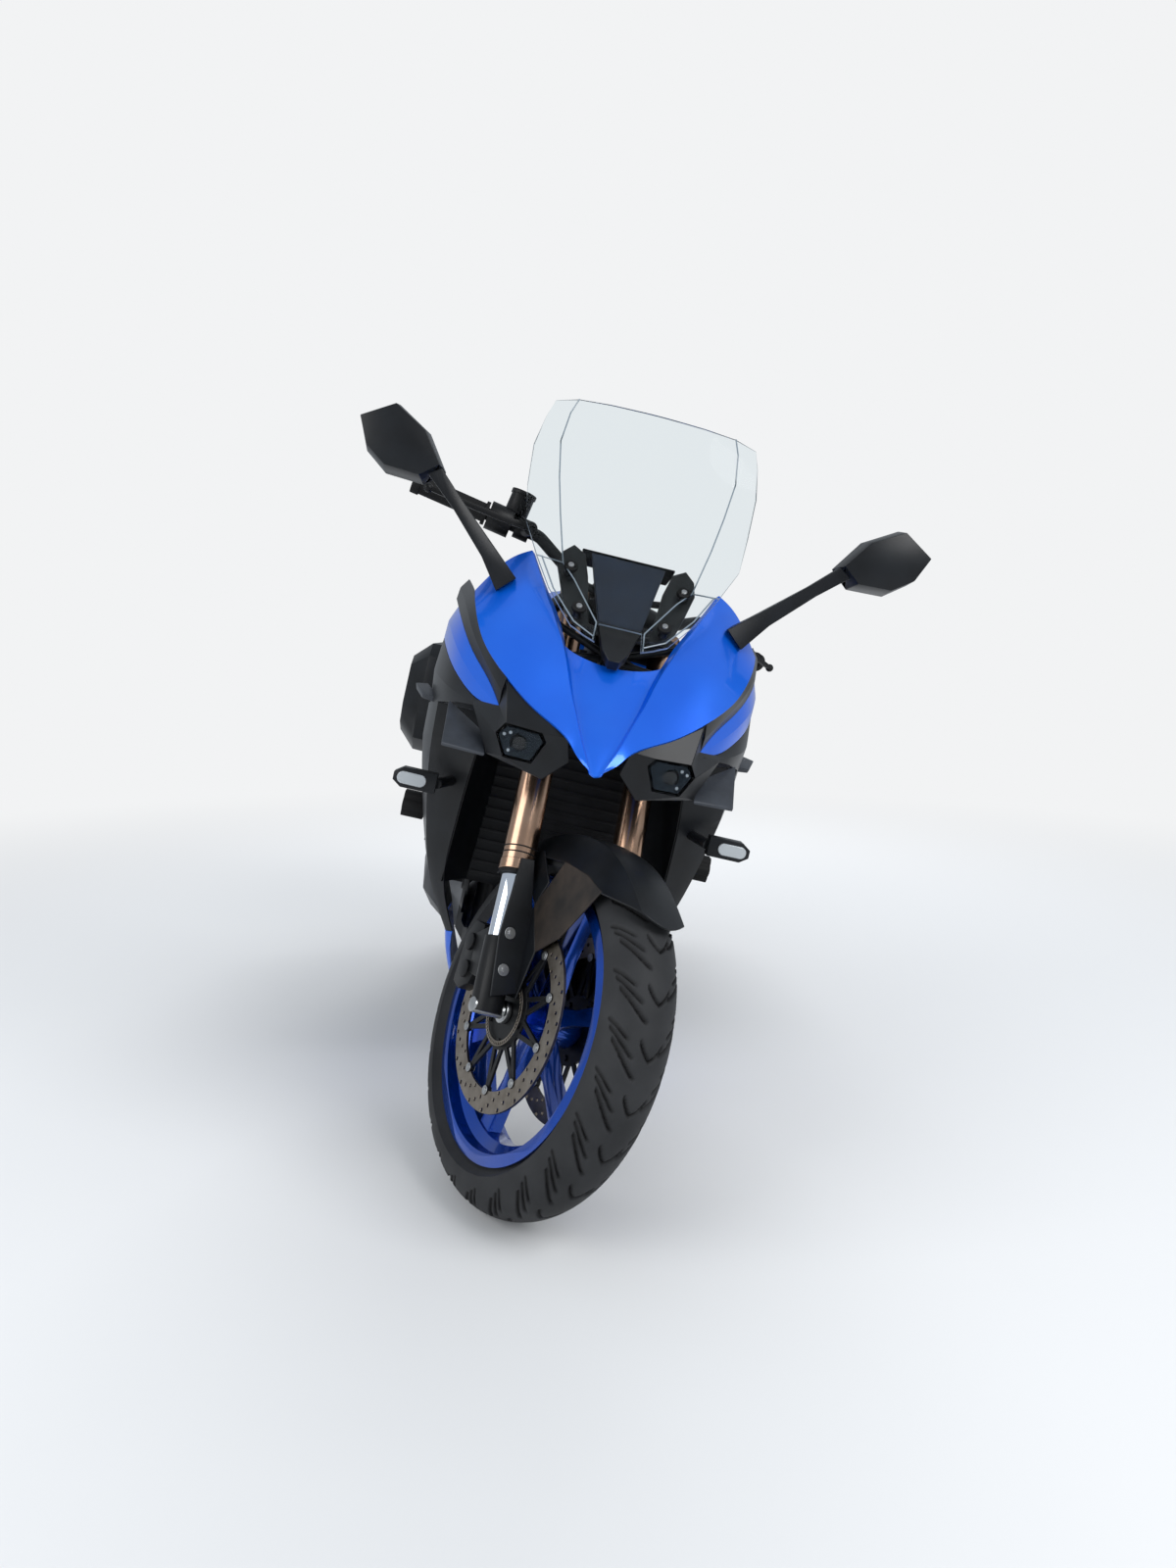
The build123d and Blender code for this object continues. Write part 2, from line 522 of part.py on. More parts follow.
def chain_loop():
    """Closed run of chain round both sprockets."""
    gap = hypot(SPROCKET_X, SPROCKET_Z - rear[2])
    tilt = atan2(SPROCKET_Z - rear[2], SPROCKET_X)
    wrap = acos((REAR_SPROCKET_R - FRONT_SPROCKET_R) / gap)

    def loop(extra):
        points = []
        steps = 16
        for k in range(steps + 1):
            a = tilt + wrap + (2 * pi - 2 * wrap) * k / steps
            points.append(((REAR_SPROCKET_R + extra) * cos(a), rear[2] + (REAR_SPROCKET_R + extra) * sin(a)))
        for k in range(steps // 2 + 1):
            a = tilt - wrap + 2 * wrap * k / (steps // 2)
            points.append((SPROCKET_X + (FRONT_SPROCKET_R + extra) * cos(a),
                           SPROCKET_Z + (FRONT_SPROCKET_R + extra) * sin(a)))
        return points

    low, high = CHAIN_Y - CHAIN_W / 2, CHAIN_Y + CHAIN_W / 2
    return side_plate(loop(CHAIN_H / 2), low, high) - side_plate(loop(-CHAIN_H / 2), low - 1, high + 1)


piece("drive_chain", chain_loop())
# Engine


def engine():
    """Closed engine: crankcase, front sprocket's boss, cylinder block and cylinder head."""
    body = side_plate([(ENGINE, 470), (ENGINE + 4, 300), (ENGINE + 60, 212), (ENGINE + 350, 205), (ENGINE + 405, 262),
                       (ENGINE + 392, 425), (ENGINE + 290, 470), (ENGINE + 120, 500)], -122, 92)
    body += side_plate([(ENGINE + 120, 470), (ENGINE + 130, 300), (ENGINE + 200, 232), (ENGINE + 340, 232),
                        (ENGINE + 385, 290), (ENGINE + 370, 420)], 91, 124)
    body += rod((SPROCKET_X, 90, SPROCKET_Z), (SPROCKET_X, CHAIN_Y + CHAIN_W / 2, SPROCKET_Z), FRONT_SPROCKET_R - CHAIN_H / 2)
    body += side_plate([(ENGINE + 196, 460), (ENGINE + 358, 425), (ENGINE + 404, 541), (ENGINE + 246, 591)], -128, 128)
    body += side_plate([(ENGINE + 246, 590), (ENGINE + 404, 540), (ENGINE + 430, 630), (ENGINE + 390, 668),
                        (ENGINE + 290, 700), (ENGINE + 262, 672)], -130, 130)
    return body


piece("engine", engine())


def round_cover(x, z, r, y_in, y_out):
    """Engine side cover: a shallow round cap with a stepped rim and a raised boss."""
    side = 1 if y_out > y_in else -1
    body = rod((x, y_in, z), (x, y_out - side * 10, z), r)
    body += cone((x, y_out - side * 10, z), (x, y_out, z), r, r - 12)
    body += rod((x, y_out, z), (x, y_out + side * 5, z), r * 0.45)
    return body


# x, z, radius, y of the seat, y of the face
COVERS = [(ENGINE + 130, 352, 88, -122, -158), (ENGINE + 320, 330, 52, -122, -146), (ENGINE + 285, 345, 70, 124, 152)]
sprocket_cover = side_plate([(PIVOT_X + 50, 342), (PIVOT_X + 50, 430), (PIVOT_X + 66, 452), (ENGINE + 105, 462),
                             (ENGINE + 112, 340)], 126, 142)
sprocket_cover += side_plate([(ENGINE + 96, 350), (ENGINE + 112, 350), (ENGINE + 112, 440), (ENGINE + 96, 440)], 92, 126)
piece("engine_covers", [round_cover(*row) for row in COVERS], sprocket_cover)

RAD_X = F - 345


def radiator():
    """Cooler core between two side tanks, with slats across its face."""
    tilt = 34
    core = side_plate([(RAD_X + tilt, 430), (RAD_X + tilt - 28, 430), (RAD_X - 28, 770), (RAD_X, 770)], -160, 160)
    for k in range(16):
        z = 446 + 20 * k
        x = RAD_X + tilt * (1 - (z - 430) / 340)
        core += block((x - 1, x + 3), (-150, 150), (z, z + 5))
    tank_l = side_plate([(RAD_X + tilt + 4, 424), (RAD_X + tilt - 32, 424), (RAD_X - 32, 776), (RAD_X + 4, 776)], 160, 178)
    body = core + tank_l + mirror(tank_l, about=Plane.XZ)
    for side in (-1, 1):
        body += rod((RAD_X - 20, side * 166, 760), (F - 440, side * 124, 812), 9)
    return body


piece("radiator", radiator())

PIPE_R = 19.0


def headers():
    solids = []
    for y in (-112, -38, 38, 112):
        low = y * 0.35 - 40
        solids.append(tube([(ENGINE + 398, y, 604), (ENGINE + 446, y, 560), (ENGINE + 440, y, 300),
                            (ENGINE + 400, (y + low) / 2, 178), (ENGINE + 110, low, 166)], PIPE_R, 34))
    body = solids[0]
    for other in solids[1:]:
        body += other
    body += bar_loft([(ENGINE + 150, -40, 167, 118, 44), (ENGINE + 60, -60, 170, 96, 60), (ENGINE - 40, -96, 186, 84, 76),
                      (ENGINE - 76, -118, 206, 82, 82)])
    return body


piece("exhaust_headers", headers())


def octagon(x, y, z, w, h):
    """Upright eight-sided outline at one value of x."""
    a, b = w / 2, h / 2
    return [(x, y - a * 0.5, z - b), (x, y + a * 0.5, z - b), (x, y + a, z - b * 0.5), (x, y + a, z + b * 0.5),
            (x, y + a * 0.5, z + b), (x, y - a * 0.5, z + b), (x, y - a, z + b * 0.5), (x, y - a, z - b * 0.5)]


# x, middle y, middle z, width, height
MUFFLER = [(ENGINE - 76.3, -118, 206, 84, 84), (ENGINE - 120, -160, 226, 108, 128), (390, -205, 250, 112, 156),
           (250, -226, 296, 106, 150), (200, -230, 312, 92, 128)]
can = ring_loft([octagon(*row) for row in MUFFLER])
can -= rod((188, -230, 314), (250, -228, 300), 24)
can += rod((182, -230, 316), (240, -228.5, 302), 24, 20)
piece("muffler", can)


def stand_leg():
    """Side stand, laid out as parked: its foot is flat on the ground, ahead of its pivot."""
    top = moved(STAND_PIVOT)
    foot = Vector(top.X + 66, top.Y + 104, 0)
    leg_end = foot + Vector(0, 0, 12)
    along = (leg_end - top).normalized()
    leg = rod(top + along * 12, leg_end + Vector(0, 0, -2), STAND_R)
    pad = ring_loft([[foot + Vector(a, b, 0) for a, b in ((-38, -20), (34, -24), (44, 0), (30, 26), (-30, 22))],
                     [foot + Vector(a, b, 8) for a, b in ((-34, -17), (30, -20), (39, 0), (27, 22), (-27, 19))]])
    eye = rod(top - STAND_AXIS * STAND_EYE, top + STAND_AXIS * STAND_EYE, 21)
    body = leg + pad + eye
    return body - rod(top - STAND_AXIS * 30, top + STAND_AXIS * 30, STAND_BOLT_R + RUN)


# Seats, tank and tail

TANK_TOP = 1015.0
# x, low half width, low z, widest half width, its z, shoulder half width, its z, top z
TANK = [(PIVOT_X + 450, 92, 852, 126, 888, 92, 930, 948), (PIVOT_X + 376, 120, 816, 184, 884, 130, TANK_TOP - 45, TANK_TOP - 19),
        (PIVOT_X + 286, 138, 780, 202, 874, 138, TANK_TOP - 29, TANK_TOP), (PIVOT_X + 176, 136, 768, 188, 850, 122, TANK_TOP - 57, TANK_TOP - 27),
        (PIVOT_X + 84, 112, 766, 140, 824, 90, 896, 916), (PIVOT_X + 34, 82, 772, 98, 804, 66, 838, 848)]


def tank():
    rings = []
    for x, a, za, b, zb, c, zc, top in TANK:
        half = [(x, a, za), (x, b, zb), (x, c, zc), (x, c * 0.45, top)]
        rings.append(half + mirrored(list(reversed(half))))
    body = ring_loft(rings)
    well = rod((CAP_X, 0, CAP_Z - 10), (CAP_X, 0, CAP_Z + 40), CAP_R + 3)
    return body - well


CAP_X = PIVOT_X + 268
CAP_Z = TANK_TOP - 7
CAP_R = 40.0
CAP_HINGE = (CAP_X + CAP_R + 1, 0, CAP_Z + 5)
piece("fuel_tank", tank())
cap = rod((CAP_X, 0, CAP_Z - 9.7), (CAP_X, 0, CAP_Z + 4), CAP_R)
cap += rod((CAP_X, 0, CAP_Z + 4), (CAP_X, 0, CAP_Z + 7), CAP_R - 8)
piece("fuel_cap", cap)


def cushion(rows):
    """Seat body through flat outlines: x, half width, bottom z, edge z, crown z."""
    rings = []
    for x, half, low, edge, top in rows:
        side = [(x, half - 14, low), (x, half, edge), (x, half * 0.55, top)]
        rings.append(side + mirrored(list(reversed(side))))
    return ring_loft(rings)


piece("rider_seat", cushion([(PIVOT_X + 33, 72, 786, 812, 838), (PIVOT_X - 50, 112, 770, 796, 814),
                             (PIVOT_X - 160, 152, 760, 788, 806), (PIVOT_X - 270, 160, 764, 796, 816),
                             (PIVOT_X - 320, 142, 776, 826, 858)]))
piece("pillion_seat", cushion([(PIVOT_X - 321, 118, 812, 862, 884), (PIVOT_X - 400, 128, 826, 868, 892),
                               (PIVOT_X - 560, 122, 842, 880, 906), (PIVOT_X - 680, 92, 858, 890, 908)]))

# x, half width, low z, middle half width, middle z, top half width, top z
TAIL = [(PIVOT_X - 190, 148, 700, 158, 735, 146, 758), (PIVOT_X - 330, 138, 716, 158, 762, 138, 800),
        (PIVOT_X - 500, 118, 740, 140, 792, 116, 838), (PIVOT_X - 680, 84, 772, 104, 826, 84, 866),
        (PIVOT_X - 830, 46, 812, 60, 846, 44, 872)]


def tail():
    side = skin([[(x, a, za), (x, b, zb), (x, c, zc)] for x, a, za, b, zb, c, zc in reversed(TAIL)], PANEL)
    deck = ring_loft([[(x, 44, z - 8), (x, 44, z), (x, -44, z), (x, -44, z - 8)]
                      for x, z in ((PIVOT_X - 684, 872), (PIVOT_X - 829, 873))])
    return [side, mirror(side, about=Plane.XZ), deck]


piece("tail_cowl", tail())
undertray = bar_loft([(PIVOT_X - 200, 0, 712, 250, 10), (PIVOT_X - 500, 0, 752, 200, 10),
                             (PIVOT_X - 820, 0, 818, 72, 10)])
piece("tail_lamp", ring_loft([[(PIVOT_X - 800, -40, 824), (PIVOT_X - 800, 40, 824), (PIVOT_X - 800, 40, 867),
                               (PIVOT_X - 800, -40, 867)],
                              [(PIVOT_X - 846, -30, 834), (PIVOT_X - 846, 30, 834), (PIVOT_X - 838, 30, 860), (PIVOT_X - 838, -30, 860)]]))


def subframe():
    side = tube([(PIVOT_X + 60, 112, 610), (PIVOT_X - 120, 112, 735), (PIVOT_X - 690, 66, 812)], 14, 60)
    side += tube([(PIVOT_X + 4, 128, 470), (PIVOT_X - 150, 116, 600), (PIVOT_X - 470, 88, 786)], 11, 60)
    side += rod((-220, 196, 720), (150, 196, 720), 8.5)
    for x, y, z in ((-110, 67, 810), (80, 82, 785)):
        side += rod((x, y, z), (x, 196, 720), 8)
    body = side + mirror(side, about=Plane.XZ)
    for x, z in ((PIVOT_X - 230, 750), (PIVOT_X - 660, 808)):
        body += rod((x, -104 if x > 0 else -70, z), (x, 104 if x > 0 else 70, z), 10)
    return body


piece("subframe", subframe())


def grab_rail():
    rail = tube([(PIVOT_X - 350, 140, 822), (PIVOT_X - 400, 172, 874), (PIVOT_X - 600, 150, 896), (PIVOT_X - 690, 60, 900),
                 (PIVOT_X - 690, -60, 900), (PIVOT_X - 600, -150, 896), (PIVOT_X - 400, -172, 874),
                 (PIVOT_X - 350, -140, 822)], 11, 24)
    return rail


piece("grab_rail", grab_rail())


rear_arm = bar_loft([(PIVOT_X - 790, 0, 806, 70, 24), (PIVOT_X - 860, 0, 730, 62, 40), (PIVOT_X - 935, 0, 600, 84, 60)])
piece("rear_fender", rear_arm + undertray)


def signal(stem_from, stem_to, head_w, head_h, head_t):
    """Turn signal: a stalk and a flat lozenge lamp."""
    stalk = rod(stem_from, stem_to, 9)
    x, y, z = stem_to
    lamp = ring_loft([[(x + head_t * s, y, z - head_h / 2), (x + head_t * s, y + head_w * 0.8, z - head_h / 2),
                       (x + head_t * s, y + head_w, z - head_h * 0.2), (x + head_t * s, y + head_w, z + head_h * 0.2),
                       (x + head_t * s, y + head_w * 0.8, z + head_h / 2), (x + head_t * s, y, z + head_h / 2)]
                      for s in (-0.5, 0.5)])
    return stalk + lamp


piece("turn_signals", left_right(signal((PIVOT_X - 880, 28, 700), (PIVOT_X - 890, 96, 704), 76, 30, 22)),
      left_right(signal((F - 204, 214, 620), (F - 140, 236, 618), 72, 34, 24)))

# Side cases

# Corners of a case seen from its side: x, z
CASE_SIDE = [(-318, 566), (-250, 528), (120, 520), (196, 560), (232, 640), (226, 788), (190, 822), (-292, 826), (-332, 780)]


KNUCKLES = (-210, 60)
LID_HINGE = (0, CASE_SPLIT, HINGE_Z)


def shrunk(outline, amount):
    """The outline moved inwards by an amount on every side."""
    cx = sum(x for x, z in outline) / len(outline)
    cz = sum(z for x, z in outline) / len(outline)
    wide = max(abs(x - cx) for x, z in outline)
    high = max(abs(z - cz) for x, z in outline)
    return [(cx + (x - cx) * (1 - amount / wide), cz + (z - cz) * (1 - amount / high)) for x, z in outline]


def case_ring(y, amount):
    return [(x, y, z) for x, z in shrunk(CASE_SIDE, amount)]


def case_tub():
    """Inner half of a case, open towards its lid."""
    outer = ring_loft([case_ring(CASE_IN, 14), case_ring(CASE_IN + 22, 0), case_ring(CASE_SPLIT, 0)])
    for x in KNUCKLES:
        outer += block((x, x + 26), (CASE_SPLIT - 12, CASE_SPLIT), (HINGE_Z, 534))
        outer += rod((x, CASE_SPLIT, HINGE_Z), (x + 26, CASE_SPLIT, HINGE_Z), HINGE_R)
    return outer - ring_loft([case_ring(CASE_IN + CASE_WALL, 18), case_ring(CASE_IN + 24, CASE_WALL),
                              case_ring(CASE_SPLIT + 1, CASE_WALL)])


def case_lid():
    """Outer half of a case: a dished cover that folds down about its lower edge."""
    outer = ring_loft([case_ring(CASE_SPLIT + SEAT, 0), case_ring(CASE_OUT - 46, 2), case_ring(CASE_OUT, 48)])
    for x in KNUCKLES:
        outer += block((x + 26 + SEAT, x + 52), (CASE_SPLIT + SEAT, CASE_SPLIT + 12), (HINGE_Z, 534))
        outer += rod((x + 26 + SEAT, CASE_SPLIT, HINGE_Z), (x + 52, CASE_SPLIT, HINGE_Z), HINGE_R)
    return outer - ring_loft([case_ring(CASE_SPLIT - 1, CASE_WALL), case_ring(CASE_OUT - 48, CASE_WALL + 2),
                              case_ring(CASE_OUT - CASE_WALL, 50)])


piece("side_cases", left_right(case_tub()))
lid = case_lid()
piece("case_lid_left", lid)
piece("case_lid_right", mirror(lid, about=Plane.XZ))

# Pegs and brackets
BRACKET_Y = PLATE_OUT + 7
BRACKET_OUT = BRACKET_Y + 8


def peg_bracket():
    plate = side_plate([(PIVOT_X - 62, 330), (PIVOT_X - 128, 352), (PIVOT_X - 120, 440), (PIVOT_X - 62, 500),
                        (PIVOT_X + 6, 470), (PIVOT_X - 20, 430), (PIVOT_X - 20, 372)], BRACKET_Y, BRACKET_Y + 8)
    plate += rod((PIVOT_X - 8, PLATE_OUT, 455), (PIVOT_X - 8, BRACKET_Y, 455), 10)
    return plate + rod((PIVOT_X - 26, PIVOT_Y - 6, 372), (PIVOT_X - 26, BRACKET_Y, 372), 9)


peg = rod((PIVOT_X - 66, BRACKET_OUT, 366), (PIVOT_X - 66, BRACKET_OUT + 24, 366), 9)
peg += bar_loft([(PIVOT_X - 78, BRACKET_OUT + 64, 368, 88, 20), (PIVOT_X - 54, BRACKET_OUT + 64, 368, 88, 20)])
hanger = side_plate([(320, 470), (345, 500), (330, 690), (250, 720), (240, 700), (300, 640)], 134, 142)
hanger += rod((322, 142, 492), (322, 236, 492), 10) + rod((290, 96, 690), (290, 134, 690), 9)
piece("peg_brackets", left_right(peg_bracket() + peg), left_right(hanger))


def pedal():
    y = BRACKET_OUT + 8
    body = side_plate([(PIVOT_X - 46, 352), (PIVOT_X + 100, 344), (PIVOT_X + 100, 356), (PIVOT_X - 46, 366)], y, y + 8)
    body += rod((PIVOT_X + 94, y, 350), (PIVOT_X + 94, y + 46, 350), 8)
    return body + rod((PIVOT_X - 38, BRACKET_OUT, 359), (PIVOT_X - 38, y, 359), 8)


piece("pedals", left_right(pedal()))

# Fairing: x ahead of the front axle, half width, height

NOSE = [
    # middle line, base of the middle panel, crest, side, lower edge
    [(F + 88, 0, 717), (F + 86, 10, 717), (F + 80, 22, 716), (F + 74, 28, 712), (F + 68, 33, 706)],
    [(F + 50, 0, 762), (F + 44, 26, 764), (F + 42, 37, 762), (F + 48, 44, 758), (F + 56, 50, 752)],
    [(F - 4, 0, 812), (F - 10, 42, 815), (F - 12, 54, 818), (F + 6, 84, 806), (F + 30, 106, 784)],
    [(F - 45, 0, 850), (F - 52, 53, 861), (F - 54, 72, 872), (F - 30, 118, 858), (F - 4, 160, 822)],
    [(F - 78, 0, 876), (F - 86, 62, 894), (F - 84, 92, 904), (F - 66, 150, 896), (F - 60, 205, 862)],
]
HORN = [
    # base, crest, side, lower edge
    [(F - 88.3, 66, 894.3), (F - 84.3, 92, 904.3), (F - 66.3, 150, 896.3), (F - 60.3, 205, 862.3)],
    [(F - 146, 112, 958), (F - 146, 126, 964), (F - 136, 178, 956), (F - 118, 232, 912)],
    [(F - 232, 160, 1032), (F - 234, 168, 1036), (F - 224, 208, 1014), (F - 176, 245, 946)],
]


def nose_cowl():
    half = [list(reversed(row)) for row in NOSE]
    rows = [row + mirrored(list(reversed(row[:-1]))) for row in half]
    hood = skin([list(reversed(row)) for row in rows], PANEL)
    horn = skin([list(reversed(row)) for row in HORN], PANEL)
    return [hood, horn, mirror(horn, about=Plane.XZ)]


piece("nose_cowl", nose_cowl())


def lamp_housing():
    """Black mask under the nose round one lamp, closed behind."""
    face = [(F + 42, 24, 726), (F + 30, 70, 688), (F + 4, 163, 702), (F + 6, 166, 744), (F + 6, 142, 807), (F + 46, 62, 758)]
    back = [(F - 80, 24, 790), (F - 90, 70, 752), (F - 140, 190, 742), (F - 150, 214, 790), (F - 130, 190, 850), (F - 70, 62, 842)]
    return hull_between(face, back)


piece("lamp_housings", left_right(lamp_housing()))


def lens():
    front_loop = [(F + 28, 96, 716), (F + 26, 140, 712), (F + 22, 152, 728), (F + 22, 142, 746), (F + 28, 106, 748), (F + 30, 92, 730)]
    back_loop = [(x - 8, y, z) for x, y, z in front_loop]
    return hull_between(front_loop, back_loop)


piece("headlamps", left_right(lens()))

CHEEK = [
    # top edge along the nose, lower edge
    [(F - 4, 160, 822), (F - 12, 164, 782)],
    [(F - 60, 205, 862), (F - 62, 214, 790)],
    [(F - 118, 232, 912), (F - 118, 236, 800)],
    [(F - 176, 245, 946), (F - 172, 254, 812)],
    [(F - 330, 268, 968), (F - 320, 290, 878)],
]
BLADE = [
    # top edge along the cheek, lower edge
    [(F - 12, 164, 782), (F - 12, 170, 770)],
    [(F - 62, 214, 790), (F - 58, 212, 766)],
    [(F - 118, 236, 800), (F - 112, 240, 760)],
    [(F - 172, 254, 812), (F - 166, 262, 752)],
    [(F - 320, 290, 878), (F - 320, 296, 736)],
    [(F - 520, 284, 850), (F - 560, 284, 690)],
]
SIDE = [
    # upright rows from the front edge's inner lip rearwards: inner lip, front edge, flank, rear flank
    [(F - 190, 176, 748), (F - 196, 268.6, 748.9), (F - 320, 296, 736), (F - 560, 284, 690)],
    [(F - 182, 190, 618), (F - 212, 262, 630), (F - 400, 280, 610), (F - 640, 258, 560)],
    [(F - 244, 198, 430), (F - 262, 224, 430), (F - 440, 232, 420), (F - 640, 216, 400)],
    [(F - 300, 158, 330), (F - 312, 170, 326), (F - 440, 182, 320), (F - 600, 176, 310)],
]
BELLY = [
    [(F - 300, 158, 330), (F - 312, 170, 326), (F - 440, 182, 320), (F - 600, 176, 310)],
    [(F - 380, 146, 236), (F - 392, 150, 232), (F - 480, 150, 220), (F - 620, 146, 214)],
    [(F - 440, 128, 166), (F - 450, 130, 164), (F - 520, 130, 158), (F - 640, 126, 156)],
]


def below(rows, drop):
    """The same net a little lower, so that it meets the panel above at a fine seam."""
    return [[(x, y, z - drop) for x, y, z in row] for row in rows]


piece("cheek_panels", left_right(skin(below(CHEEK, SEAM), PANEL)))
piece("blade_panels", left_right(skin(below(BLADE, 2 * SEAM), PANEL)))
piece("side_cowls", left_right(skin(below(SIDE, 3 * SEAM), PANEL)))
piece("belly_cowls", left_right(skin(below(BELLY, 4 * SEAM), PANEL)))


def winglets():
    upper = hull_between(*[[(F - 260, 262, 740), (F - 250, 268, 752), (F - 330, 300, 768), (F - 340, 296, 752)],
                       [(F - 262, 300, 744), (F - 252, 300, 752), (F - 330, 322, 764), (F - 340, 320, 752)]])
    lower = hull_between([(F - 112, 244, 762), (F - 16, 236, 702), (F + 12, 166, 702), (F - 60, 180, 730)],
                         [(F - 116, 244, 756), (F - 18, 236, 696), (F + 10, 168, 697), (F - 64, 180, 724)])
    return [upper, lower]


fins = winglets()
piece("winglets", left_right(fins[1]) + left_right(fins[0]))

# Screen: rows from the bottom up, columns across
SCREEN = [
    [(F - 40, 41, 905), (F - 84, 70, 923), (F - 88, 80, 928)],
    [(F - 160, 36, 1014), (F - 176, 101, 1023.5), (F - 182, 147, 1022)],
    [(F - 210, 30, 1100), (F - 225, 120, 1106), (F - 232, 190, 1082)],
    [(F - 300, 26, 1240), (F - 312, 150, 1236), (F - 330, 206, 1224)],
    [(F - 352, 22, 1332), (F - 340, 120, 1326), (F - 334, 186, 1310)],
]


def screen():
    rows = [row[::-1] + mirrored(row) for row in SCREEN]
    return skin([list(reversed(row)) for row in rows], 3.5)


piece("windscreen", screen())


def fairing_stay():
    """Stay from the steering head to the nose, with the screen's bracket, the beak, the dash and side arms."""
    root = on_axis((LOWER_YOKE + UPPER_YOKE) / 2)
    knee = Vector(F - 128, 0, 888)
    plane = Plane(origin=root + Vector(0, 20, 0), x_dir=AHEAD, z_dir=(0, -1, 0))
    run = (knee - root).length
    stay = extrude(plane * Polygon((HEAD_R - 3, -22), (run, -14), (run, 20), (HEAD_R - 3, 22), align=None), amount=40, dir=(0, -1, 0))
    stay += side_plate([(F - 46, 852), (F - 38, 899), (F - 100, 906), (F - 128, 930), (F - 246, 1062), (F - 262, 1056),
                        (F - 150, 905), (F - 128, 872), (F - 90, 872)], -34, 34)
    stay += side_plate([(F - 232, 1040), (F - 246, 1062), (F - 285, 1066), (F - 285, 1058), (F - 262, 1050)], -66, 66)
    stay += side_plate([(F - 262, 1056), (F - 262, 1160), (F - 280, 1166), (F - 280, 1056)], -30, 30)
    stay += side_plate([(F - 262, 1092), (F - 262, 1160), (F - 280, 1166), (F - 280, 1096)], -108, 108)
    for side in (-1, 1):
        for x, y, z, back_x, back_z in ((F - 175, 100, 1025, F - 200, 990), (F - 116, 80, 961, F - 140, 928)):
            stay += rod((x, side * y, z), (back_x, side * (y - 6), back_z), 8)
            stay += rod((back_x, side * (y - 6), back_z), (back_x + 6, side * 20, back_z - 14), 7)
        stay += rod((F - 140, side * 10, 900), (F - 138, side * 170, 958), 8)
        stay += rod((F - 136, side * 10, 890), (F - 118, side * 236, 860), 8)
    return stay


piece("fairing_stay", fairing_stay())


def mirror_arm():
    """Left mirror's arm: a foot on the cowl, a slanting stem and a level neck into the head."""
    rings = []
    # x, y, z, half length along the machine, half thickness
    for x, y, z, a, t in ((F - 172, 196, 966, 34, 20), (F - 152, 236, 1010, 20, 13), (F - 138, 300, 1072, 15, 10),
                          (F - 136, 350, 1118, 14, 12)):
        rings.append([(x + a, y + t * 0.7, z - t * 0.7), (x + a * 0.6, y - t * 0.7, z + t * 0.7),
                      (x - a * 0.6, y - t * 0.7, z + t * 0.7), (x - a, y + t * 0.7, z - t * 0.7)])
    body = hull_between(rings[0], rings[1])
    for one, two in zip(rings[1:], rings[2:]):
        body += hull_between(one, two)
    return body


def mirror_head():
    """Mirror head: five-sided shell, its glass faces the rider."""
    x = F - 134
    outline = [(330, 1118), (362, 1091), (425, 1094), (462, 1122), (482, 1170), (425, 1206), (367, 1172)]
    front_loop = [(x + 26, y * 0.9 + 41, z * 0.86 + 161) for y, z in outline]
    back_loop = [(x - 26, y, z) for y, z in outline]
    return hull_between(front_loop, back_loop)


piece("mirrors", left_right(mirror_arm() + mirror_head()))


def bobbin():
    x, z = ENGINE + 450, 530
    body = rod((x, 262, z), (x, 300, z), 24) + rod((x, 150, z), (x, 262, z), 10)
    body += rod((x - 52, 130.3, 576), (x, 152, z), 9)
    for k in range(6):
        a = pi / 3 * k
        body += rod((x + 15 * cos(a), 262, z + 15 * sin(a)), (x + 15 * cos(a), 304, z + 15 * sin(a)), 12)
    return body


piece("crash_bobbins", left_right(bobbin()))

# How each caliper sits over the rear disc
inner, outer = REAR_DISC_Y - DISC_T / 2 - DISC_GAP, REAR_DISC_Y + DISC_T / 2 + DISC_GAP
rear_caliper = side_plate([(30, 402), (110, 372), (126, 400), (112, 428), (40, 452)], inner - 20, outer + 12)
rear_caliper -= turned([(0, inner), (REAR_DISC_R + DISC_GAP, inner), (REAR_DISC_R + DISC_GAP, outer), (0, outer)], rear)
rear_caliper += side_plate([(56, 340), (104, 340), (112, 392), (56, 398)], -142, -128.5)
piece("rear_caliper", rear_caliper)

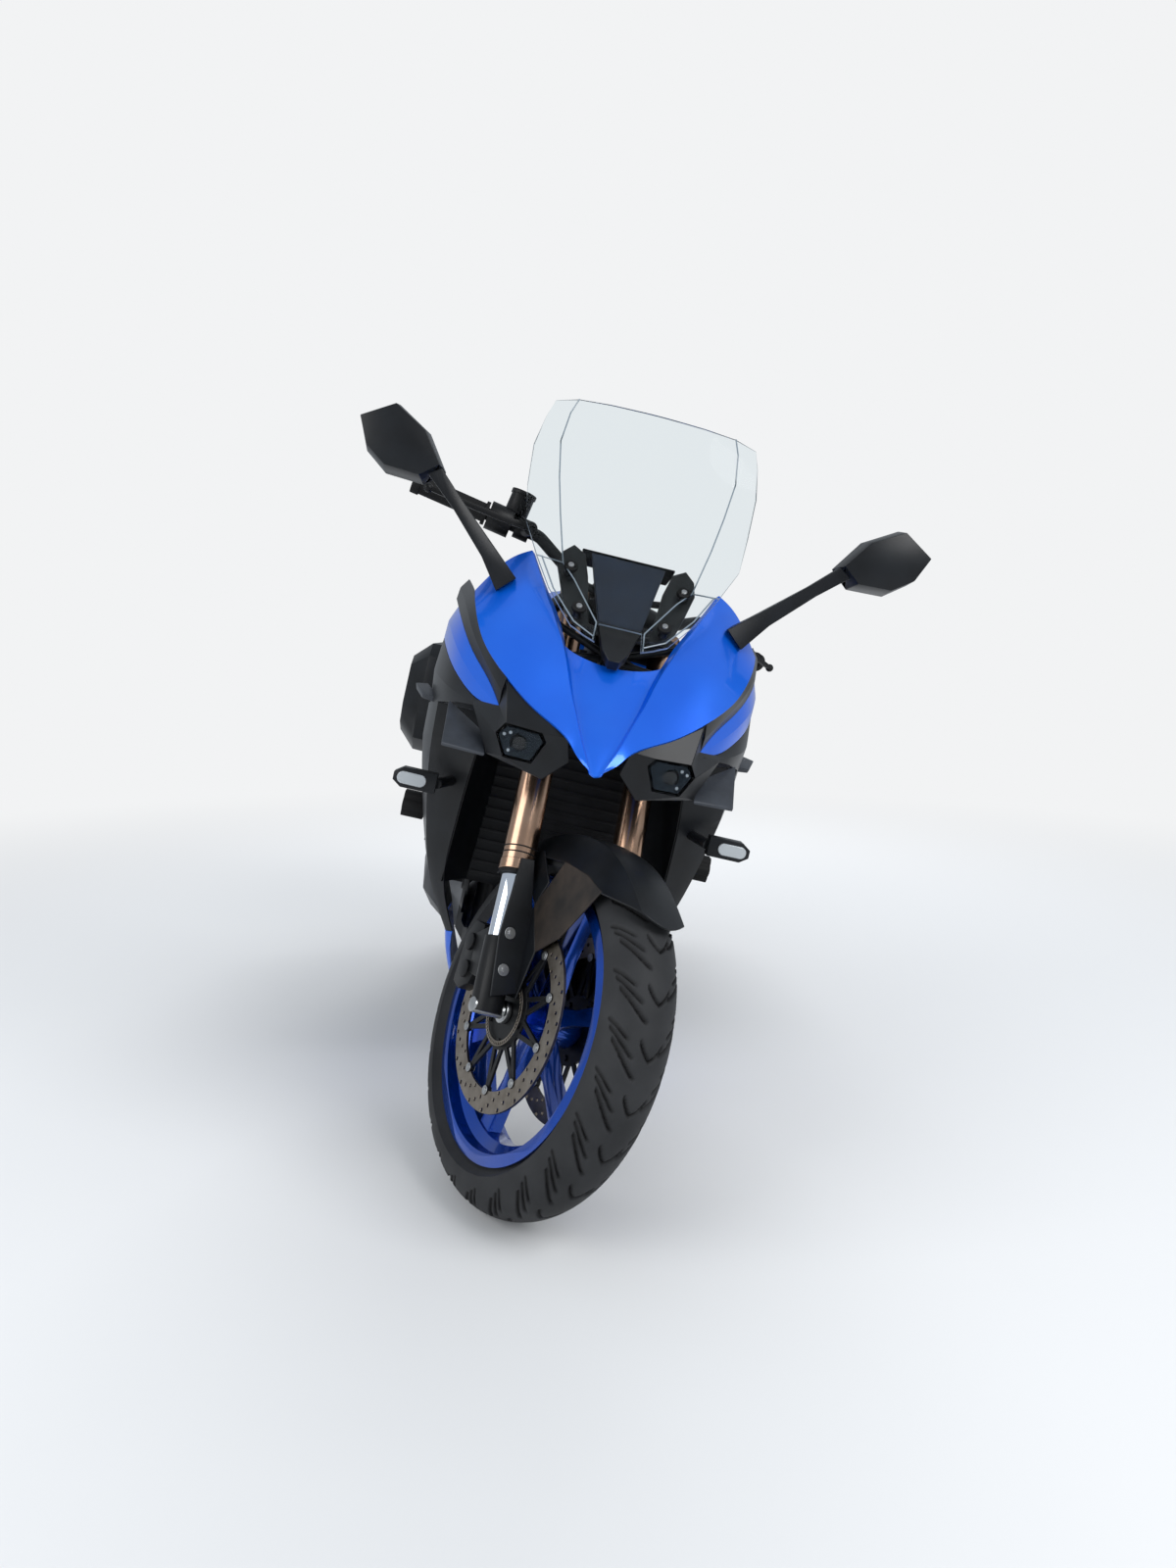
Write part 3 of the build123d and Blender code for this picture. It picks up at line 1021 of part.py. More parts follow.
# Pieces let into the ones they are fastened to: the piece, then what it makes room for
LET_IN = [("radiator", ["frame"]), ("engine", ["frame"]), ("exhaust_headers", ["engine"]), ("subframe", ["frame"]),
          ("drive_chain", ["engine"]), ("rear_shock", ["frame", "swingarm"]), ("fuel_tank", ["frame"]),
          ("side_cases", ["subframe"]), ("rear_caliper", ["swingarm", "arm_ends"]), ("front_calipers", ["fork_bottoms"]),
          ("front_fender", ["fork_bottoms"]), ("crash_bobbins", ["engine"]),
          ("cheek_panels", ["nose_cowl"]), ("blade_panels", ["cheek_panels", "winglets"]),
          ("side_cowls", ["blade_panels", "crash_bobbins", "turn_signals", "winglets"]), ("belly_cowls", ["side_cowls"]),
          ("lamp_housings", ["headlamps", "nose_cowl", "cheek_panels", "blade_panels"]),
          ("rear_fender", ["subframe", "turn_signals"]), ("tail_cowl", ["subframe", "grab_rail", "tail_lamp"]),
          ("rider_seat", ["tail_cowl", "subframe", "rear_fender"]),
          ("pillion_seat", ["tail_cowl", "grab_rail", "rear_fender"]),
          ("handlebar", ["yokes", "fork_outer"]), ("grips", ["handlebar"]), ("controls", ["handlebar"]),
          ("mirrors", ["nose_cowl"]), ("peg_brackets", ["subframe", "tail_cowl"]),
          ("fairing_stay", ["frame", "windscreen", "nose_cowl", "cheek_panels"]), ("fork_inner", ["fork_bottoms"])]
for name, others in LET_IN:
    for other in others:
        nodes[name] = [solid for one in nodes[name] for solid in solids_of(one - nodes[other]) if solid.volume > SCRAP]

# Parked pose

STEERED = ["front_tyre", "front_rim", "front_discs", "fork_bottoms", "fork_inner", "fork_outer", "yokes", "front_axle",
           "front_calipers", "front_fender", "handlebar", "grips", "controls"]


def turn(origin, axis, angle):
    """Rotation about a line through origin."""
    there = Location(tuple(origin))
    return there * Location((0, 0, 0), tuple(axis), angle) * there.inverse()


def point_at(place, point):
    return (place * Location(tuple(point))).position


def direction_at(place, direction):
    return point_at(place, direction) - point_at(place, (0, 0, 0))


def lowest(place, centre, profile):
    """Lowest height of a turned body about a line along Y, in the given placement."""
    middle, tilt = point_at(place, centre), direction_at(place, (0, 1, 0)).Z
    return middle.Z + min(y * tilt - r * sqrt(1 - tilt * tilt) for r, y in profile)


steer = turn(AXIS_FOOT, UP, STEER_LOCK)
lean = Location((0, 0, 0), (1, 0, 0), -LEAN)
front_profile = tyre_profile(FRONT_TYRE_R, FRONT_TYRE_W, FRONT_WIDEST_R, FRONT_RIM_W)
rear_profile = tyre_profile(REAR_TYRE_R, REAR_TYRE_W, REAR_WIDEST_R, REAR_RIM_W)
pitch, lift = 0.0, 0.0
for _ in range(6):
    place = Location((0, 0, lift)) * Location((0, 0, 0), (0, 1, 0), pitch) * lean
    front_gap = lowest(place * steer, front, front_profile)
    rear_gap = lowest(place, rear, rear_profile)
    pitch += degrees((front_gap - rear_gap) / WHEELBASE)
    lift -= rear_gap
parked = Location((0, 0, lift)) * Location((0, 0, 0), (0, 1, 0), pitch) * lean


def moved(point):
    return point_at(parked, point)


STAND_AXIS = direction_at(parked, STAND_LINE)
placed = {name: [(parked * steer if name in STEERED else parked) * shape for shape in shapes]
          for name, shapes in nodes.items()}
placed["side_stand"] = solids_of(stand_leg())

boxes = [shape.bounding_box() for shapes in placed.values() for shape in shapes]
low_x, high_x = min(b.min.X for b in boxes), max(b.max.X for b in boxes)
low_y, high_y = min(b.min.Y for b in boxes), max(b.max.Y for b in boxes)
centre = Location((-(low_x + high_x) / 2, -(low_y + high_y) / 2, 0))

os.makedirs("parts", exist_ok=True)
for name, shapes in placed.items():
    solids = [centre * shape for shape in shapes]
    export_step(Compound(children=solids), f"parts/{name}.step")

print("size", round(high_x - low_x), round(high_y - low_y), round(max(b.max.Z for b in boxes)),
      "lowest", round(min(b.min.Z for b in boxes), 3), "pitch", round(pitch, 3), "lift", round(lift, 3))
for label, place, where in (("steering foot", parked, AXIS_FOOT), ("front axle", parked * steer, FRONT_AXLE),
                            ("rear axle", parked, REAR_AXLE), ("stand pivot", parked, STAND_PIVOT),
                            ("lid hinge left", parked, LID_HINGE), ("cap hinge", parked, CAP_HINGE)):
    print(label, [round(v, 3) for v in point_at(centre * place, where)])
for label, place, way in (("steering axis", parked, UP), ("front axle line", parked * steer, (0, 1, 0)),
                          ("across", parked, (0, 1, 0)), ("along", parked, (1, 0, 0)), ("up", parked, (0, 0, 1))):
    print(label, [round(v, 5) for v in direction_at(place, way)])
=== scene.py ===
# %% [markdown]
# A sport touring motorcycle leans on its side stand with the steering turned to the left stop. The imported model
# gives its bodies and joints; this file gives it smooth skins, tread, cushions and finishes.
# The machine is laid out upright in millimetres, and one function stands each piece in the parked pose.

# %% Load the frame
import json
from math import atan2, cos, degrees, hypot, pi, radians, sin
import bmesh
import bpy
from mathutils import Matrix, Vector


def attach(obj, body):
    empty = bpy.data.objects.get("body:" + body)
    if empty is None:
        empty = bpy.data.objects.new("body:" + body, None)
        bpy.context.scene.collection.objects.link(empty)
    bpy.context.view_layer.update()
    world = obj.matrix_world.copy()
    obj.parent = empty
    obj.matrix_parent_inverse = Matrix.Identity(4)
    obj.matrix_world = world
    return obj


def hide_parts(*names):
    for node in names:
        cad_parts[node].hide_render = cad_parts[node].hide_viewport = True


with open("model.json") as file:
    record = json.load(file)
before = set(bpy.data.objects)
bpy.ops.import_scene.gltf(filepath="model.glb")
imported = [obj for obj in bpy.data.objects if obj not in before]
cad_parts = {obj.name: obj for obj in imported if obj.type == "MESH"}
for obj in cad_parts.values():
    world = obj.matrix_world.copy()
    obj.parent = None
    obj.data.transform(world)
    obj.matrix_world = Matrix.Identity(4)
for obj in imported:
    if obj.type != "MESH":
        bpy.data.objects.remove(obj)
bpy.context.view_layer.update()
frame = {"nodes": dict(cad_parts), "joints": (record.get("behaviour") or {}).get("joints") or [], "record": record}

# %% [markdown]
# Every piece is drawn on the upright machine, where left and right mirror each other. The rear wheel's axis, a
# lid's hinge line and the steering axis say how the parked machine stands, so the placement comes from the joints
# and never has to be measured again.

# %% Upright machine to parked machine
JOINTS = {joint["name"]: joint for joint in frame["joints"]}
RAKE = radians(25)
FRONT_R, REAR_R, F = 300, 311, 1460  # the wheels' radii, and the front axle's distance from the rear one
UP = Vector((-sin(RAKE), 0, cos(RAKE)))
AHEAD = Vector((cos(RAKE), 0, sin(RAKE)))
across = Vector(JOINTS["rear_wheel_spin"]["axis"])
along = Vector(JOINTS["right_lid_fold"]["axis"])
upward = along.cross(across)
PARKED = Matrix((along, across, upward)).transposed().to_4x4()
PARKED.translation = Vector(JOINTS["rear_wheel_spin"]["pos_m"]) - PARKED.to_3x3() @ Vector((0, 0, REAR_R / 1000))
steering = JOINTS["steering"]
pivot = Matrix.Translation(Vector(steering["pos_m"]))
LOCK = radians(-steering["range_deg"][0] / 2)
STEERED = pivot @ Matrix.Rotation(LOCK, 4, Vector(steering["axis"])) @ pivot.inverted() @ PARKED
STEERED_BODIES = ("steering", "front_wheel")
FRONT_WHEEL, REAR_WHEEL = Vector((F, 0, FRONT_R)), Vector((0, 0, REAR_R))
print("lean", round(degrees(atan2(across.z, across.y)), 2), "steering", round(degrees(LOCK), 2))


def park(bm, body):
    """Stands a mesh drawn on the upright machine in the parked pose, steered where its body is."""
    bmesh.ops.transform(bm, matrix=STEERED if body in STEERED_BODIES else PARKED, verts=bm.verts)


def on_fork(up, ahead, y):
    """Point up the fork legs from the front axle, ahead of them and to one side, on the upright machine."""
    return FRONT_WHEEL + UP * up + AHEAD * ahead + Vector((0, y, 0))


# %% [markdown]
# The camera stands low in front of the wheel, as the photograph's does: its height, its small turn and tilt and
# its field of view were worked out from the wheels, whose sizes are known.

# %% Camera
cam_data = bpy.data.cameras.new("photo_camera")
cam_data.sensor_fit, cam_data.sensor_height, cam_data.sensor_width = "VERTICAL", 36.0, 36.0
cam_data.lens = 24.83  # mm, for the fitted field of view
cam_data.clip_start, cam_data.clip_end = 0.05, 60
camera = bpy.data.objects.new("photo_camera", cam_data)
bpy.context.scene.collection.objects.link(camera)
yaw, tilt, roll = radians(-3.26), radians(7.16), radians(0.418)
forward = Vector((-cos(yaw) * cos(tilt), -sin(yaw) * cos(tilt), -sin(tilt)))
level = Vector((-sin(yaw), cos(yaw), 0))
rise = level.cross(forward)
right = level * cos(roll) + rise * sin(roll)
top = rise * cos(roll) - level * sin(roll)
camera.matrix_world = Matrix((right, top, -forward)).transposed().to_4x4()
# from the point under the rear axle, and its height over the floor
CAMERA_AHEAD, CAMERA_LEFT, CAMERA_HIGH = 3.1336, 0.0591, 0.8776
camera.location = (PARKED.translation.x + CAMERA_AHEAD, PARKED.translation.y + CAMERA_LEFT, CAMERA_HIGH)
bpy.context.scene.camera = camera
print("camera at", [round(c, 3) for c in camera.location])

# %% [markdown]
# A white surround keeps the light plain. It looks white to the camera and through the screen, but lights the object
# at a lower strength. One function turns colours to linear, and one adds a node with its settings and links.

# %% Surround


def shade(hex_colour):
    """sRGB hex colour to linear, with alpha."""
    values = [int(hex_colour[i:i + 2], 16) / 255 for i in (1, 3, 5)]
    return [v / 12.92 if v <= 0.04045 else ((v + 0.055) / 1.055) ** 2.4 for v in values] + [1.0]


def add(tree, kind, settings=None, **links):
    """One node with its settings. A link's value is a socket, or else the input's value."""
    node = tree.nodes.new(kind)
    for name, value in (settings or {}).items():
        setattr(node, name, value)
    for name, value in links.items():
        key = int(name[1:]) if name[0] == "_" and name[1:].isdigit() else name.replace("_", " ")
        socket = node.inputs[key]
        if isinstance(value, bpy.types.NodeSocket):
            tree.links.new(value, socket)
        else:
            socket.default_value = value
    return node


SURROUND = "#f2f3f4"
world = bpy.data.worlds.new("studio")
bpy.context.scene.world = world
world.use_nodes = True
tree = world.node_tree
tree.nodes.clear()
path = add(tree, "ShaderNodeLightPath")
seen = add(tree, "ShaderNodeMath", {"operation": "MAXIMUM"}, _0=path.outputs["Is Camera Ray"],
           _1=path.outputs["Is Transmission Ray"])
sky = add(tree, "ShaderNodeBackground", Color=shade("#dfe6ee"), Strength=0.62)
white = add(tree, "ShaderNodeBackground", Color=shade(SURROUND), Strength=1.0)
both = add(tree, "ShaderNodeMixShader", _0=seen.outputs[0], _1=sky.outputs[0], _2=white.outputs[0])
add(tree, "ShaderNodeOutputWorld", Surface=both.outputs[0])
print("surround ready")

# %% [markdown]
# The floor is pale matt paint that takes the machine's shadow. Far from the machine the camera sees it turn into the
# surround, so that no edge shows behind the object.

# %% Floor
FLOOR_HALF = 14  # metres from its middle to each side
FADE_FROM, FADE_TO = 1.3, 4.5  # metres from the machine where the floor starts to look like the surround, and ends
floor_mesh = bpy.data.meshes.new("floor")
bm = bmesh.new()
bmesh.ops.create_grid(bm, x_segments=1, y_segments=1, size=FLOOR_HALF)
bm.to_mesh(floor_mesh)
bm.free()
floor = bpy.data.objects.new("floor", floor_mesh)
bpy.context.scene.collection.objects.link(floor)
floor_paint = bpy.data.materials.new("matt_floor_paint")
floor_paint.use_nodes = True
tree = floor_paint.node_tree
paint = tree.nodes["Principled BSDF"]
paint.inputs["Base Color"].default_value = shade("#d9dadb")
paint.inputs["Roughness"].default_value = 0.85
place = add(tree, "ShaderNodeTexCoord")
reach = add(tree, "ShaderNodeVectorMath", {"operation": "LENGTH"}, _0=place.outputs["Object"])
fade = add(tree, "ShaderNodeMapRange", {"interpolation_type": "SMOOTHSTEP"}, Value=reach.outputs["Value"],
           From_Min=FADE_FROM, From_Max=FADE_TO)
path = add(tree, "ShaderNodeLightPath")
far = add(tree, "ShaderNodeMath", {"operation": "MULTIPLY"}, _0=fade.outputs[0], _1=path.outputs["Is Camera Ray"])
glow = add(tree, "ShaderNodeEmission", Color=shade(SURROUND), Strength=1.0)
both = add(tree, "ShaderNodeMixShader", _0=far.outputs[0], _1=paint.outputs[0], _2=glow.outputs[0])
tree.links.new(both.outputs[0], tree.nodes["Material Output"].inputs["Surface"])
floor_mesh.materials.append(floor_paint)
print("floor ready")

# %% [markdown]
# Three broad lamps model the forms. The rim lamp isn't mirrored, because it would draw white lines on black edges, and
# no lamp shows through the screen.

# %% Lamps of the studio
AIM = Vector((0.3, -0.1, 0.6))
for name, place, watts, size in (("key", (3.2, 2.6, 3.4), 150, 2.6), ("fill", (2.6, -3.2, 2.2), 90, 3.0),
                                 ("rim", (-3.4, 0.6, 3.4), 130, 2.4)):
    lamp = bpy.data.lights.new(name, "AREA")
    lamp.energy, lamp.size = watts, size
    holder = bpy.data.objects.new(name, lamp)
    holder.location = place
    holder.rotation_euler = (AIM - Vector(place)).to_track_quat("-Z", "Y").to_euler()
    holder.visible_glossy = name != "rim"
    holder.visible_transmission = False
    bpy.context.scene.collection.objects.link(holder)
bpy.context.scene.view_settings.view_transform = "Standard"
print("studio ready")

# %% [markdown]
# Each finish starts from the real material. Painted plastic has fine metallic flake under a clear coat, moulded
# plastic has a pebbled grain, anodised aluminium is a dyed bare metal, and rubber is dull with a little dust.
# Patterns read Object coordinates in metres, so their scale is one over the real size of a grain.

# %% Finishes


def finish(name, colour, rough, metallic=0.0, gloss=0.5, grain=None, depth=0.2, mottle=None, mottle_mm=40, **coat):
    """A moulded or painted finish: grain is its bumps' size in mm, depth their strength, mottle a second colour in
    soft patches."""
    material = bpy.data.materials.new(name)
    material.use_nodes = True
    tree = material.node_tree
    shader = tree.nodes["Principled BSDF"]
    shader.inputs["Metallic"].default_value = metallic
    shader.inputs["Roughness"].default_value = rough
    shader.inputs["Base Color"].default_value = shade(colour)
    shader.inputs["Specular IOR Level"].default_value = gloss
    for key, value in coat.items():
        shader.inputs[key.replace("_", " ")].default_value = value
    place = add(tree, "ShaderNodeTexCoord")
    if mottle:
        cloud = add(tree, "ShaderNodeTexNoise", Vector=place.outputs["Object"], Scale=1000 / mottle_mm, Detail=4.0)
        ramp = add(tree, "ShaderNodeMapRange", Value=cloud.outputs[0], From_Min=0.35, From_Max=0.7)  # mostly the first
        mix = add(tree, "ShaderNodeMix", {"data_type": "RGBA"}, Factor=ramp.outputs[0])
        mix.inputs[6].default_value, mix.inputs[7].default_value = shade(colour), shade(mottle)
        tree.links.new(mix.outputs[2], shader.inputs["Base Color"])
    if grain:
        noise = add(tree, "ShaderNodeTexNoise", Vector=place.outputs["Object"], Scale=1000 / grain, Detail=2.0)
        bump = add(tree, "ShaderNodeBump", Strength=depth, Distance=grain / 4000, Height=noise.outputs[0])
        tree.links.new(bump.outputs[0], shader.inputs["Normal"])
    return material


# %% [markdown]
# Lacquers have a clear coat over a tinted metallic base, candy blue more of it than the body's blue. Ground steel and
# bronze anodising are bare metals with a faint cloud of wear. Black ABS is softened by grain, and where road dust
# lies on it, it is browner and duller. Vinyl and rubber hardly shine at all.

# %% Palette
MATERIAL = {
    "tyre_rubber": finish("tyre_rubber", "#232426", 0.66, grain=1.6, depth=0.25, mottle="#2d2e30", mottle_mm=70,
                          gloss=0.25),
    "blue_paint": finish("metallic_blue_lacquer", "#005ad8", 0.30, metallic=0.45, grain=0.5, depth=0.05,
                         mottle="#0468e6", mottle_mm=260, Coat_Weight=0.5, Coat_Roughness=0.05),
    "candy_blue": finish("candy_blue_rim_lacquer", "#043c9a", 0.24, metallic=0.8, grain=0.5, depth=0.05,
                         mottle="#064cb8", mottle_mm=120, Coat_Weight=0.6, Coat_Roughness=0.05),
    "disc_steel": finish("ground_brake_steel", "#8d857b", 0.34, metallic=1.0, grain=0.8, depth=0.12,
                         mottle="#756c61", mottle_mm=18),
    "gold_anodised": finish("bronze_anodised_aluminium", "#b4957f", 0.22, metallic=1.0, grain=0.6, depth=0.05,
                            mottle="#a4846e", mottle_mm=50),
    "chrome": finish("hard_chrome", "#dfe6f0", 0.05, metallic=1.0, grain=0.8, depth=0.003),
    "zinc": finish("zinc_plated_steel", "#a9abac", 0.3, metallic=1.0, grain=0.6, depth=0.1),
    "frame_aluminium": finish("satin_cast_aluminium", "#3b3d40", 0.42, metallic=0.85, grain=1.2, depth=0.2,
                              mottle="#46484b", mottle_mm=60),
    "engine_metal": finish("black_engine_enamel", "#141517", 0.48, metallic=0.3, grain=1.4, depth=0.35,
                           mottle="#1e1f22", mottle_mm=45, gloss=0.3),
    "seat_vinyl": finish("grained_seat_vinyl", "#151517", 0.55, grain=1.4, depth=0.6, gloss=0.35),
    "grip_rubber": finish("grip_rubber", "#0e0e0f", 0.7, grain=1.0, depth=0.4, gloss=0.25),
    "silver_plastic": finish("slate_grey_lacquer", "#2c3037", 0.46, metallic=0.2, grain=0.6, depth=0.1,
                             mottle="#363b43", mottle_mm=30),
    "black_metal": finish("black_powder_coat", "#0d0e10", 0.42, metallic=0.2, grain=1.0, depth=0.25,
                          gloss=0.3),
    "black_plastic": finish("satin_black_abs", "#0c0e11", 0.36, grain=0.9, depth=0.18, mottle="#14171b",
                            mottle_mm=60, gloss=0.28),
    "dusty_black": finish("dusty_black_abs", "#1a1715", 0.5, grain=1.1, depth=0.3, mottle="#332b25",
                          mottle_mm=34, gloss=0.3),
    "blue_grey": finish("blue_grey_abs", "#1c2536", 0.5, grain=0.9, depth=0.2, mottle="#232e42", mottle_mm=60,
                        gloss=0.3),
    "mirror_glass": finish("silvered_mirror_glass", "#cfd6da", 0.03, metallic=1.0),
    "reflector": finish("smoked_lamp_reflector", "#3a4148", 0.16, metallic=1.0, grain=6.0, depth=0.6),
    "bright_chip": finish("bright_lamp_element", "#e6ebf0", 0.2, Coat_Weight=1.0),
    "frosted_lens": finish("frosted_signal_lens", "#aab0b4", 0.2, grain=1.2, depth=0.2, Coat_Weight=0.8),
    "display_glass": finish("dark_display_glass", "#07090d", 0.08, Coat_Weight=1.0),
    "red_lens": finish("red_lamp_lens", "#8e0c10", 0.12, Coat_Weight=0.6),
}

# %% [markdown]
# Clear plastic needs light to pass through it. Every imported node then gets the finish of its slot.

# %% Clear plastics


def clear(name, tint, rough, gloss):
    """Thin clear plastic: mostly see-through, with a gloss that grows towards grazing angles."""
    material = bpy.data.materials.new(name)
    material.use_nodes = True
    tree = material.node_tree
    shader = tree.nodes["Principled BSDF"]
    shader.inputs["Base Color"].default_value = shade(tint)
    shader.inputs["Roughness"].default_value = rough
    shader.inputs["Transmission Weight"].default_value = 1.0
    shader.inputs["IOR"].default_value = 1.12  # low, because a thin sheet hardly bends what is seen through it
    shader.inputs["Specular IOR Level"].default_value = gloss
    return material


MATERIAL["clear_screen"] = clear("clear_polycarbonate", "#eef4f6", 0.02, 0.6)
MATERIAL["screen_edge"] = finish("polished_polycarbonate_edge", "#74818b", 0.25, grain=1.0, depth=0.02,
                                 Coat_Weight=0.4)
MATERIAL["lamp_lens"] = clear("clear_lamp_cover", "#d8dcdf", 0.05, 0.8)
SLOT_OF = {row["node"]: row["material_slot"] for row in frame["record"]["subparts"]}
for name, node in frame["nodes"].items():
    node.data.materials.clear()
    node.data.materials.append(MATERIAL[SLOT_OF[name]])
# The grooves get painted shade: the rubber is darkened by each point's share of the depth, which the tread keeps as an
# attribute.
tree = MATERIAL["tyre_rubber"].node_tree
surface = tree.nodes["Principled BSDF"].inputs["Base Color"]
groove = add(tree, "ShaderNodeAttribute", {"attribute_name": "groove"})
painted_groove_shade = add(tree, "ShaderNodeMix", {"data_type": "RGBA"}, Factor=groove.outputs["Fac"])
tree.links.new(surface.links[0].from_socket, painted_groove_shade.inputs[6])
# near-black painted shade at the bottom of each groove
painted_groove_shade.inputs[7].default_value = shade("#060607")
tree.links.new(painted_groove_shade.outputs[2], surface)
print(len(MATERIAL), "finishes")

# %% [markdown]
# Every piece ends the same way: its mesh becomes an object with a finish and a body that it moves with, and the
# imported solids that it stands for are hidden.

# %% Finished pieces


def body_of_node(node):
    """Name of the body that a CAD node moves with."""
    return next(body for body, members in frame["record"]["behaviour"]["bodies"].items() if node in members)


def show(name, bm, material, body, replace=(), smooth=35):
    """Turns a finished bmesh into a piece on a body. Faces flatter than the smooth angle share their shading."""
    mesh = bpy.data.meshes.new(name)
    bm.normal_update()
    crisp = bm.edges.layers.float.get("crease_edge")
    for face in bm.faces:
        face.smooth = True
    for edge in bm.edges:
        edge.smooth = len(edge.link_faces) == 2 and edge.calc_face_angle(0) < radians(smooth)
        if crisp and edge[crisp] > 0.5:
            edge.smooth = False
    bm.to_mesh(mesh)
    bm.free()
    piece = bpy.data.objects.new(name, mesh)
    bpy.context.scene.collection.objects.link(piece)
    for one in material if isinstance(material, list) else [material]:
        mesh.materials.append(one)
    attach(piece, body)
    if replace:
        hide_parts(*replace)
    return piece


def soften(piece, width_mm, angle, segments=2):
    """Bevels a piece's edges that fold by more than an angle."""
    edge = piece.modifiers.new("edge", "BEVEL")
    edge.width, edge.segments, edge.limit_method, edge.angle_limit = width_mm / 1000, segments, "ANGLE", radians(angle)


def swap_mesh(piece):
    """Makes what the modifiers give the piece's own mesh."""
    shape = bpy.data.meshes.new_from_object(piece.evaluated_get(bpy.context.evaluated_depsgraph_get()))
    piece.modifiers.clear()
    piece.data = shape


# %% [markdown]
# Real castings and mouldings have rounded edges that catch the light. A copy of each plain solid is merged, its
# flat faces are joined, and its edges get a small bevel, so that no edge is knife sharp.

# %% Rounded copies of plain solids
WELD = 0.00002  # metres, under which two of a solid's loose corners are one
FLAT, SHARP = radians(2), radians(28)  # faces that fold by less are joined, and edges that fold by more are bevelled


def rounded(node, width, finish_name=None):
    """Piece that stands for a CAD node, with its edges bevelled by a width in millimetres."""
    bm = bmesh.new()
    bm.from_mesh(frame["nodes"][node].data)
    bmesh.ops.remove_doubles(bm, verts=bm.verts, dist=WELD)
    bmesh.ops.dissolve_limit(bm, angle_limit=FLAT, verts=bm.verts, edges=bm.edges)
    sharp = [e for e in bm.edges if len(e.link_faces) == 2 and e.calc_face_angle(0) > SHARP]
    bmesh.ops.bevel(bm, geom=sharp, offset=width / 1000, affect="EDGES", segments=2, profile=0.5, material=-1,
                    clamp_overlap=True)
    slot = SLOT_OF[node]
    show("soft_" + node, bm, MATERIAL[finish_name or slot], body_of_node(node), [node])


# node, bevel width in mm, and its finish where that isn't the slot's
ROUNDED = [("engine", 3), ("engine_covers", 3), ("frame", 3), ("swingarm", 3), ("arm_ends", 2), ("muffler", 5),
           ("radiator", 1.2), ("yokes", 2.5), ("front_calipers", 3), ("rear_caliper", 3), ("fork_bottoms", 2),
           ("side_cases", 3), ("case_lid_left", 4), ("case_lid_right", 4), ("peg_brackets", 1.5), ("pedals", 1.2),
           ("controls", 1.5), ("crash_bobbins", 1.5), ("tail_lamp", 2), ("rear_fender", 3),
           ("turn_signals", 4, "black_plastic"), ("winglets", 1.5), ("mirrors", 5), ("tail_cowl", 1),
           ("rear_rim", 2, "candy_blue"), ("front_rim", 2, "candy_blue"), ("fuel_cap", 2),
           ("front_axle", 1.2, "zinc"), ("fork_inner", 0.6), ("fork_outer", 0.8), ("handlebar", 0.8),
           ("grips", 0.8)]
for node, width, *other in ROUNDED:
    rounded(node, width, *other)
print("rounded", len(ROUNDED), "solids")

# %% [markdown]
# A tank is pressed from sheet steel, so it has no edges at all. The solid's flat faces are cut into 7 mm cells, whose
# corners are evened out until the facets melt into one another.

# %% Tank
bm = bmesh.new()
bm.from_mesh(frame["nodes"]["fuel_tank"].data)
bmesh.ops.remove_doubles(bm, verts=bm.verts, dist=WELD)
tank = show("soft_fuel_tank", bm, MATERIAL["blue_paint"], "chassis", ["fuel_tank"], smooth=180)
cells = tank.modifiers.new("cells", "REMESH")
cells.mode, cells.voxel_size, cells.use_smooth_shade = "VOXEL", 0.007, True
soft = tank.modifiers.new("soft", "SMOOTH")
soft.factor, soft.iterations = 0.5, 36
swap_mesh(tank)
print("tank", len(tank.data.vertices), "points")

# %% [markdown]
# Brackets, masks and lenses are plates and blocks with folded sides. Each starts from the corners of one face, which
# is pulled out or bridged to a second one; the other side of the machine is its mirror image.

# %% Plates, blocks and round bars


def loop(bm, corners):
    """Adds one face with its corners at the given points (mm)."""
    return bm.faces.new([bm.verts.new(Vector(c) / 1000) for c in corners])


def between(bm, front, back):
    """Adds a closed block between two loops of corners."""
    ends = [loop(bm, front), loop(bm, back)]
    bmesh.ops.bridge_loops(bm, edges=[e for end in ends for e in end.edges])


def verts_in(geom):
    return [g for g in geom if isinstance(g, bmesh.types.BMVert)]


def plate(bm, corners, out):
    """Adds a plate: a face with the given corners, pulled out by a vector (mm)."""
    made = bmesh.ops.extrude_face_region(bm, geom=[loop(bm, corners)])["geom"]
    bmesh.ops.translate(bm, verts=verts_in(made), vec=Vector(out) / 1000)


def rod(bm, start, end, radius, tip=None, sides=28):
    """Adds a round bar between two points; tip is the radius at its far end."""
    start, end = Vector(start) / 1000, Vector(end) / 1000
    line = end - start
    place = Matrix.Translation((start + end) / 2) @ line.to_track_quat("Z", "Y").to_matrix().to_4x4()
    bmesh.ops.create_cone(bm, cap_ends=True, segments=sides, radius1=radius / 1000,
                          radius2=(radius if tip is None else tip) / 1000, depth=line.length, matrix=place)


def mirrored(bm):
    """Adds the mirror image across the machine's middle plane."""
    bmesh.ops.mirror(bm, geom=bm.verts[:] + bm.edges[:] + bm.faces[:], matrix=Matrix(), merge_dist=-1, axis="Y")


def settle(name, bm, slot, finish_name=None, body="chassis", replace=(), bevel=1.0, both=True):
    """Parks a piece drawn upright, on one side or both, and softens its edges by a bevel in mm."""
    if both:
        mirrored(bm)
    bmesh.ops.recalc_face_normals(bm, faces=bm.faces)
    park(bm, body)
    piece = show(name, bm, MATERIAL[finish_name or slot], body, replace)
    if bevel:
        soften(piece, bevel, 25)


# %% [markdown]
# A fairing panel is a thin moulded shell whose form is set by a few lines: a crest, a base, an edge. A grid is
# pulled onto those lines, subdivision rounds it, and creased edges keep the crest lines crisp, which is how such
# panels are drawn by hand too.

# %% Shells pulled onto their lines


